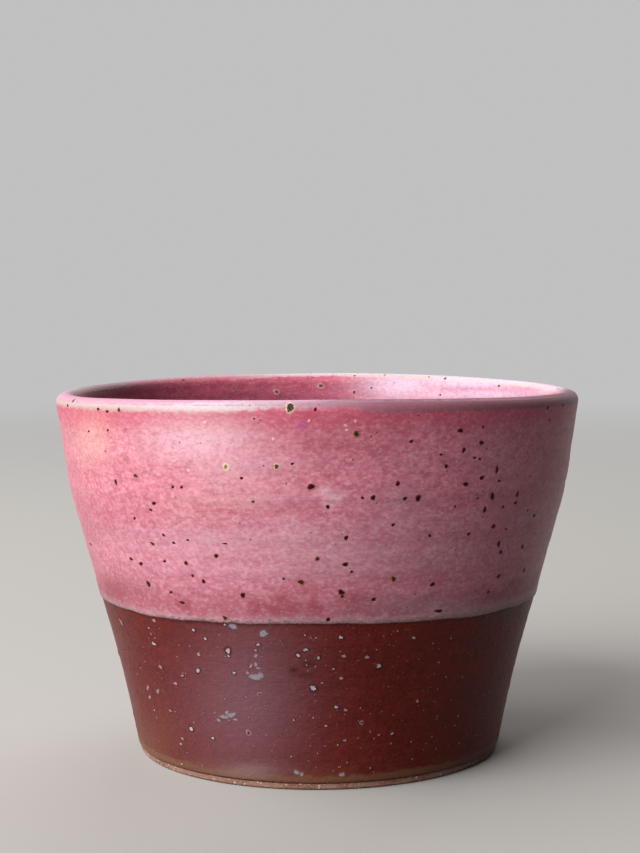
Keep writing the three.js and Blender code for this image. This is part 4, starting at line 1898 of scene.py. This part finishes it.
@dataclass
class GlazeCoat:
    """What the three coats share: a face, a coarser back on what lies below, values and marks.

    Sight is what the photograph shows of a coat, and near side holds the first and the last turn
    of the side towards the camera.
    """

    skin: Skin
    coats: Coats
    sight: SightMap
    finish: bpy.types.Material
    mark_finish: bpy.types.Material
    around: int = 480
    near_side: tuple[float, float] = (-1.3, 1.3)

    CLOSE_RINGS = 8
    FAR_ABOVE = 99.0

    @property
    def far_side(self) -> tuple[float, float]:
        """The first and the last turn of the side away from the camera."""
        return self.near_side[1], FULL_TURN + self.near_side[0]

    def marks(
        self, name: str, read_off: Sequence[Mark], scatters: Sequence[Scatter], seed: int
    ) -> bpy.types.Mesh:
        """Makes the coat's marks, first the ones that the photograph shows.

        Args:
            name: The mesh's name.
            read_off: The marks in the photograph.
            scatters: The bands over which others lie at random.
            seed: What the random ones start from.

        Returns:
            The marks' mesh.
        """
        fired = FiredMarks(self.skin, self.coats, seed)
        fired.from_photograph(read_off, self.sight)
        for scatter in scatters:
            fired.scattered(scatter)
        return fired.mesh(name, self.values_at)

    def values_at(self, along: np.ndarray, turn: np.ndarray) -> dict[str, np.ndarray]:
        """Gives what the glaze shaders read, in millimetres, at places on the bowl.

        Args:
            along: Lengths along the skin.
            turn: Turns, of a shape that fits along.

        Returns:
            The distance from the lip's crest, the heights above dip line and red coat's edge, and
            the relief.
        """
        along, turn = np.broadcast_arrays(along, turn)
        height = self.skin.at(along, self.skin.height)
        outside = along < self.skin.crest
        return {
            "from_crest": (self.skin.crest - along) / MM,
            "above_dip": np.where(outside, (height - self.skin.form.dip_line) / MM, self.FAR_ABOVE),
            "above_foot": (height - self.skin.form.bare_foot) / MM,
            "relief": self.skin.relief(along, turn) / MM,
        }

    @staticmethod
    def eased(start: float, end: float, step: float, ease: float) -> np.ndarray:
        """Gives lengths from start to end, a step apart but closer over a first stretch, the ease."""
        close = start + ease * np.linspace(0, 1, GlazeCoat.CLOSE_RINGS, endpoint=False) ** 2
        return np.concatenate([close, np.linspace(start + ease, end, int((end - start - ease) / step) + 1)])

    def shell(
        self, name: str, along: np.ndarray, back: np.ndarray, top: Callable, under: Callable, poles: bool
    ) -> bpy.types.Mesh:
        """Builds a closed coat: its face out over the skin, and its back on what lies below.

        Args:
            name: The mesh's name.
            along: Lengths along the skin of the face's rings.
            back: Lengths of the back's rings, in the order in which they follow the face's.
            top: Gives the face's height above the clay at a length.
            under: Gives the back's height above the clay.
            poles: True if face and back both end on the axis.

        Returns:
            The mesh.
        """
        turn = np.arange(self.around)[None, :] / self.around * FULL_TURN
        order = [(back, under), (along, top)] if poles else [(along, top), (back, under)]
        rings = [self.skin.place(at[:, None], turn, lift(at)[:, None]) for at, lift in order]
        lengths = np.concatenate([at for at, _ in order])
        return Rings(np.concatenate(rings), self.values_at(lengths[:, None], turn)).mesh(name, poles)


@dataclass
class IronRedCoat(GlazeCoat):
    """The iron-red coat on the lower wall, with its blisters, ash and pits."""

    step: float = 0.6 * MM
    back_step: float = 3 * MM
    clear_of_foot: float = 2.5 * MM
    clear_of_dip: float = 1.5 * MM
    near_side: tuple[float, float] = (-1.35, 1.2)

    def build(self) -> None:
        """Makes the coat and its marks."""
        start, end = self.coats.red_start, self.coats.lap_top
        along = self.eased(start, end, self.step, self.skin.form.bead)
        back = np.linspace(end, start, int((end - start) / self.back_step))[1:-1]
        mesh = self.shell("iron_red_coat", along, back, self.coats.red, np.zeros_like, False)
        paint(mesh, RED_BLOOMS, self.sight.camera)
        dress(mesh, self.finish, "iron_red_glaze")
        low, high = start + self.clear_of_foot, self.coats.dip - self.clear_of_dip
        kinds = (BLISTER, PEARL, BLISTER, EYE, ASH)
        scatters = (
            Scatter(190, low, high, self.far_side, kinds, 0.5 * MM, 1.9 * MM),
            Scatter(210, low, high, self.near_side, (BLISTER, BLISTER, PEARL), 0.35 * MM, 0.8 * MM),
        )
        blisters = self.marks("red_blisters", RED_MARKS, scatters, seed=5)
        paint(blisters, RED_BLOOMS, self.sight.camera)
        dress(blisters, self.mark_finish)


@dataclass
class PinkCoat(GlazeCoat):
    """The pink coat over the upper wall and the lip, with its iron specks and stains."""

    step: float = 0.62 * MM
    lip_step: float = 0.3 * MM
    back_step: float = 2.6 * MM
    lip_back_rings: int = 15
    neck_below: float = 2 * MM
    clear_of_dip: float = 2 * MM
    near_side: tuple[float, float] = (-1.4, 1.3)

    def build(self) -> None:
        """Makes the coat and its marks."""
        skin, start, end = self.skin, self.coats.dip, self.skin.lip_end
        neck = skin.wall_top - self.neck_below
        wall = self.eased(start, neck, self.step, skin.form.bead)
        lip = np.linspace(neck, end, int((end - neck) / self.lip_step))[1:]
        under_wall = np.linspace(neck, start, int((neck - start) / self.back_step))
        back = np.concatenate([np.linspace(end, neck, self.lip_back_rings + 1)[:-1], under_wall[:-1]])
        along = np.concatenate([wall, lip])
        mesh = self.shell("pink_coat_outside", along, back, self.coats.both, self.coats.red, False)
        paint(mesh, PINK_BLOOMS, self.sight.camera)
        dress(mesh, self.finish, "pink_glaze_outside")
        low, kinds = start + self.clear_of_dip, (IRON,) * 8 + (GILDED, OLIVE, PALE)
        scatters = (
            Scatter(240, low, neck, self.far_side, kinds, 0.45 * MM, 1.7 * MM),
            Scatter(26, skin.wall_top, skin.crest, self.far_side, kinds[:9], 0.4 * MM, 1.2 * MM),
            Scatter(60, low, neck, self.near_side, kinds[:8], 0.25 * MM, 0.5 * MM),
        )
        read_off = IRON_SPECKS + LIP_SPECKS + PALE_SPECKS
        specks = self.marks("iron_specks_outside", read_off, scatters, seed=3)
        paint(specks, PINK_BLOOMS, self.sight.camera)
        dress(specks, self.mark_finish)


@dataclass
class PinkLiner(GlazeCoat):
    """The pink coat poured inside, from just under the lip to the middle of the floor."""

    step: float = 0.95 * MM
    back_step: float = 4 * MM
    top_ease: float = 2 * MM
    clear_of_lip: float = 2 * MM
    clear_of_middle: float = 6 * MM
    seen_below_lip: float = 14 * MM

    def build(self) -> None:
        """Makes the liner and its marks."""
        skin, start, end = self.skin, self.skin.lip_end, self.skin.middle
        along = self.eased(start, end, self.step, self.top_ease)
        back = np.linspace(end, start, int((end - start) / self.back_step))
        mesh = self.shell("pink_liner", along, back, self.coats.both, np.zeros_like, True)
        paint(mesh, LINER_BLOOMS, self.sight.camera)
        dress(mesh, self.finish, "pink_glaze_liner")
        kinds, around = (IRON, IRON, HALOED, OLIVE), (0.0, FULL_TURN)
        low, corner, floor = start + self.seen_below_lip, skin.corner_top, skin.floor_start
        scatters = (
            Scatter(45, start + self.clear_of_lip, low, self.near_side, kinds, 0.35 * MM, 1.5 * MM),
            Scatter(220, low, corner, around, kinds, 0.35 * MM, 1.5 * MM),
            Scatter(80, corner, floor, around, kinds, 0.35 * MM, 1.4 * MM),
            Scatter(45, floor, end - self.clear_of_middle, around, kinds, 0.35 * MM, 1.4 * MM),
        )
        specks = self.marks("iron_specks_liner", INNER_SPECKS, scatters, seed=9)
        paint(specks, LINER_BLOOMS, self.sight.camera)
        dress(specks, self.mark_finish)


@dataclass
class StonewareBody:
    """The thrown clay with its turned foot: bare under the foot and in a thin band above it."""

    skin: Skin
    coats: Coats
    around: int = 360
    tool_mark: float = 0.07 * MM
    tool_pitch: float = 1.9 * MM
    chatter: float = 0.03 * MM
    chatter_count: int = 47
    chatter_drift: float = 0.9 * MM
    cut_above: float = 1.6 * MM
    cut_radii: tuple[float, float] = (1.5 * MM, 6 * MM)
    under_red: float = 0.6 * MM
    covered_step: float = 2.2 * MM
    dome_rings: int = 90
    side_rings: int = 40
    band_rings: int = 14

    def _underside(self) -> tuple[np.ndarray, np.ndarray]:
        """Gives radius and height from the recess's middle out to the foot's outer edge.

        The recess is a shallow dome, its side slopes out to a flat ring, and each edge of the
        ring is a straight bevel.

        Returns:
            Radii and heights.
        """
        form = self.skin.form
        ring_inner = form.foot_radius - form.foot_ring_width
        dome_edge = ring_inner - form.recess_slope
        lean = form.foot_bevel * form.recess_slope / form.recess_depth
        dome_r = np.linspace(0, dome_edge, self.dome_rings)
        dome_z = form.recess_top - form.recess_dome * (dome_r / dome_edge) ** 2
        flat_start, flat_end = ring_inner + form.foot_bevel, form.foot_radius - form.foot_bevel
        side_r = [dome_edge, ring_inner - lean, flat_start, flat_end]
        side_z = [form.recess_depth, form.foot_bevel, 0.0, 0.0]
        at = np.linspace(0, len(side_r) - 1, self.side_rings)[1:]
        radius = np.concatenate([dome_r, np.interp(at, range(len(side_r)), side_r)])
        height = np.concatenate([dome_z, np.interp(at, range(len(side_z)), side_z)])
        return radius, height

    def build(self, finish: bpy.types.Material) -> None:
        """Makes the body.

        The turning tool leaves a fine spiral, a wave of the radius whose phase follows the turn,
        and a faint chatter, many waves round the axis.

        Args:
            finish: The bare clay.
        """
        skin = self.skin
        radius, height = (values[:, None] for values in self._underside())
        turn = np.arange(self.around)[None, :] / self.around * FULL_TURN
        cut = self.tool_mark * np.sin(FULL_TURN * radius / self.tool_pitch + turn)
        cut = cut + self.chatter * np.sin(self.chatter_count * turn + radius / self.chatter_drift)
        in_recess = smoothstep(height, self.cut_above, skin.form.recess_depth)
        cut = in_recess * smoothstep(radius, *self.cut_radii) * cut
        under = np.stack([radius * np.sin(turn), -radius * np.cos(turn), height + cut], axis=-1)
        band = np.linspace(0, self.coats.red_start + self.under_red, self.band_rings)
        covered = np.linspace(band[-1], skin.middle, int(skin.middle / self.covered_step))[1:]
        outside = skin.place(np.concatenate([band, covered])[:, None], turn)
        mesh = Rings(np.concatenate([under, outside]), {}).mesh("stoneware_body", True)
        dress(mesh, finish, "clay_body")


@dataclass(frozen=True)
class Lamp:
    """A soft square lamp that faces the bowl from a turn and a climb in degrees."""

    name: str
    turn: float
    climb: float
    distance: float
    width: float
    height: float
    watts: float
    aim_height: float = 55 * MM

    def build(self) -> None:
        """Makes the lamp."""
        turn, climb = math.radians(self.turn), math.radians(self.climb)
        level_reach = math.cos(climb)
        toward = np.array([math.sin(turn) * level_reach, -math.cos(turn) * level_reach, math.sin(climb)])
        data = bpy.data.lights.new(self.name, "AREA")
        data.shape = "RECTANGLE"
        data.size, data.size_y = self.width, self.height
        data.energy = self.watts
        lamp = shown(self.name, data)
        lamp.visible_camera = False
        level = np.cross([0.0, 0.0, 1.0], toward)
        level /= np.linalg.norm(level)
        place = np.array([0.0, 0.0, self.aim_height]) + toward * self.distance
        lamp.matrix_world = standing(level, np.cross(toward, level), toward, place)


@dataclass
class Studio:
    """A wide sheet of plain pale paper, soft lamps at the left and a dim even room.

    Far from the bowl the paper turns into the pale backdrop, evenly in every direction.
    """

    paper: str = "6f6d6b"
    paper_seen: str = "b3b0ac"
    paper_roughness: float = 0.9
    paper_specular: float = 0.2
    backdrop_light: float = 0.53
    backdrop_starts: float = 0.45
    backdrop_full: float = 1.7
    room_light: float = 0.035
    paper_half_width: float = 9.0
    paper_drop: float = 0.02 * MM
    lamps: tuple[Lamp, ...] = (
        Lamp("window_lamp", -48, 32, 2.0, 1.8, 2.1, 73.0),
        Lamp("side_lamp", -106, 34, 2.0, 1.4, 2.0, 19.0),
        Lamp("back_lamp", 168, 50, 1.6, 1.2, 1.1, 10.0),
    )

    def build(self) -> None:
        """Makes the sweep, the lamps and the room's light."""
        self._sweep()
        for lamp in self.lamps:
            lamp.build()
        world = bpy.data.worlds.new("room")
        wire = Wiring(emptied(world))
        strength = wire.ramp(self._seen(wire), 0.0, 1.0, self.room_light, self.backdrop_light)
        light = wire.put("ShaderNodeBackground", {"Color": glaze_color("ffffff"), "Strength": strength})
        wire.put("ShaderNodeOutputWorld", {"Surface": light.outputs[0]})
        bpy.context.scene.world = world
        bpy.context.scene.view_settings.view_transform = "Standard"

    @staticmethod
    def _seen(wire: Wiring) -> Socket:
        """Gives 1 for rays from the camera, or by way of gloss or glass, and 0 for lighting rays.

        Args:
            wire: The wiring of the material or the world.

        Returns:
            That value.
        """
        path = wire.put("ShaderNodeLightPath").outputs
        straight = wire.sum("MAXIMUM", path["Is Camera Ray"], path["Is Glossy Ray"])
        return wire.sum("MAXIMUM", straight, path["Is Transmission Ray"])

    def _sweep(self) -> None:
        """Makes the paper, a level sheet whose seen colour turns into the backdrop's with distance."""
        sides = np.array([[-1.0, -1.0], [1.0, -1.0], [1.0, 1.0], [-1.0, 1.0]]) * self.paper_half_width
        points = np.column_stack([sides, np.full(4, -self.paper_drop)])
        mesh = mesh_from("paper_sweep", points, np.array([[0, 1, 2, 3]]), np.empty((0, 3), int), {})
        paper = bpy.data.materials.new("paper")
        wire = Wiring(emptied(paper))
        seen = self._seen(wire)
        color = wire.blend(seen, self.paper, self.paper_seen)
        inputs = {"Base Color": color, "Roughness": self.paper_roughness}
        inputs |= {"Specular IOR Level": self.paper_specular}
        sheet = wire.put("ShaderNodeBsdfPrincipled", inputs)
        glow = wire.put("ShaderNodeEmission", {"Strength": self.backdrop_light})
        place = wire.put("ShaderNodeTexCoord").outputs["Object"]
        away = wire.put("ShaderNodeVectorMath", {0: place}, operation="LENGTH").outputs["Value"]
        far = wire.times(seen, wire.ramp(away, self.backdrop_starts, self.backdrop_full))
        mixed = wire.put("ShaderNodeMixShader", {0: far, 1: sheet.outputs[0], 2: glow.outputs[0]})
        wire.put("ShaderNodeOutputMaterial", {"Surface": mixed.outputs[0]})
        mesh.materials.append(paper)
        sweep = shown("paper_sweep", mesh)


def main() -> None:
    """Builds the bowl from the clay out, then the studio round it."""
    logging.basicConfig(level=logging.INFO, format="%(name)s: %(message)s")
    skin = Skin(BowlForm(), Handwork())
    coats = Coats(skin)
    camera = Photograph()
    camera.set_camera()
    effects = GlazeEffects()
    outside = SightMap(skin, coats, camera, View.OUTSIDE)
    inside = SightMap(skin, coats, camera, View.INSIDE)
    StonewareBody(skin, coats).build(BareStoneware().build(effects))
    red = IronRedGlaze().build(effects)
    IronRedCoat(skin, coats, outside, red, red).build()
    pink = PinkGlaze("pink_glaze_finish").build(effects)
    specked = PinkGlaze("pink_speck_finish", specular=0.1).build(effects)
    PinkCoat(skin, coats, outside, pink, specked).build()
    PinkLiner(skin, coats, inside, pink, specked).build()
    Studio().build()


if __name__ == "__main__":
    main()
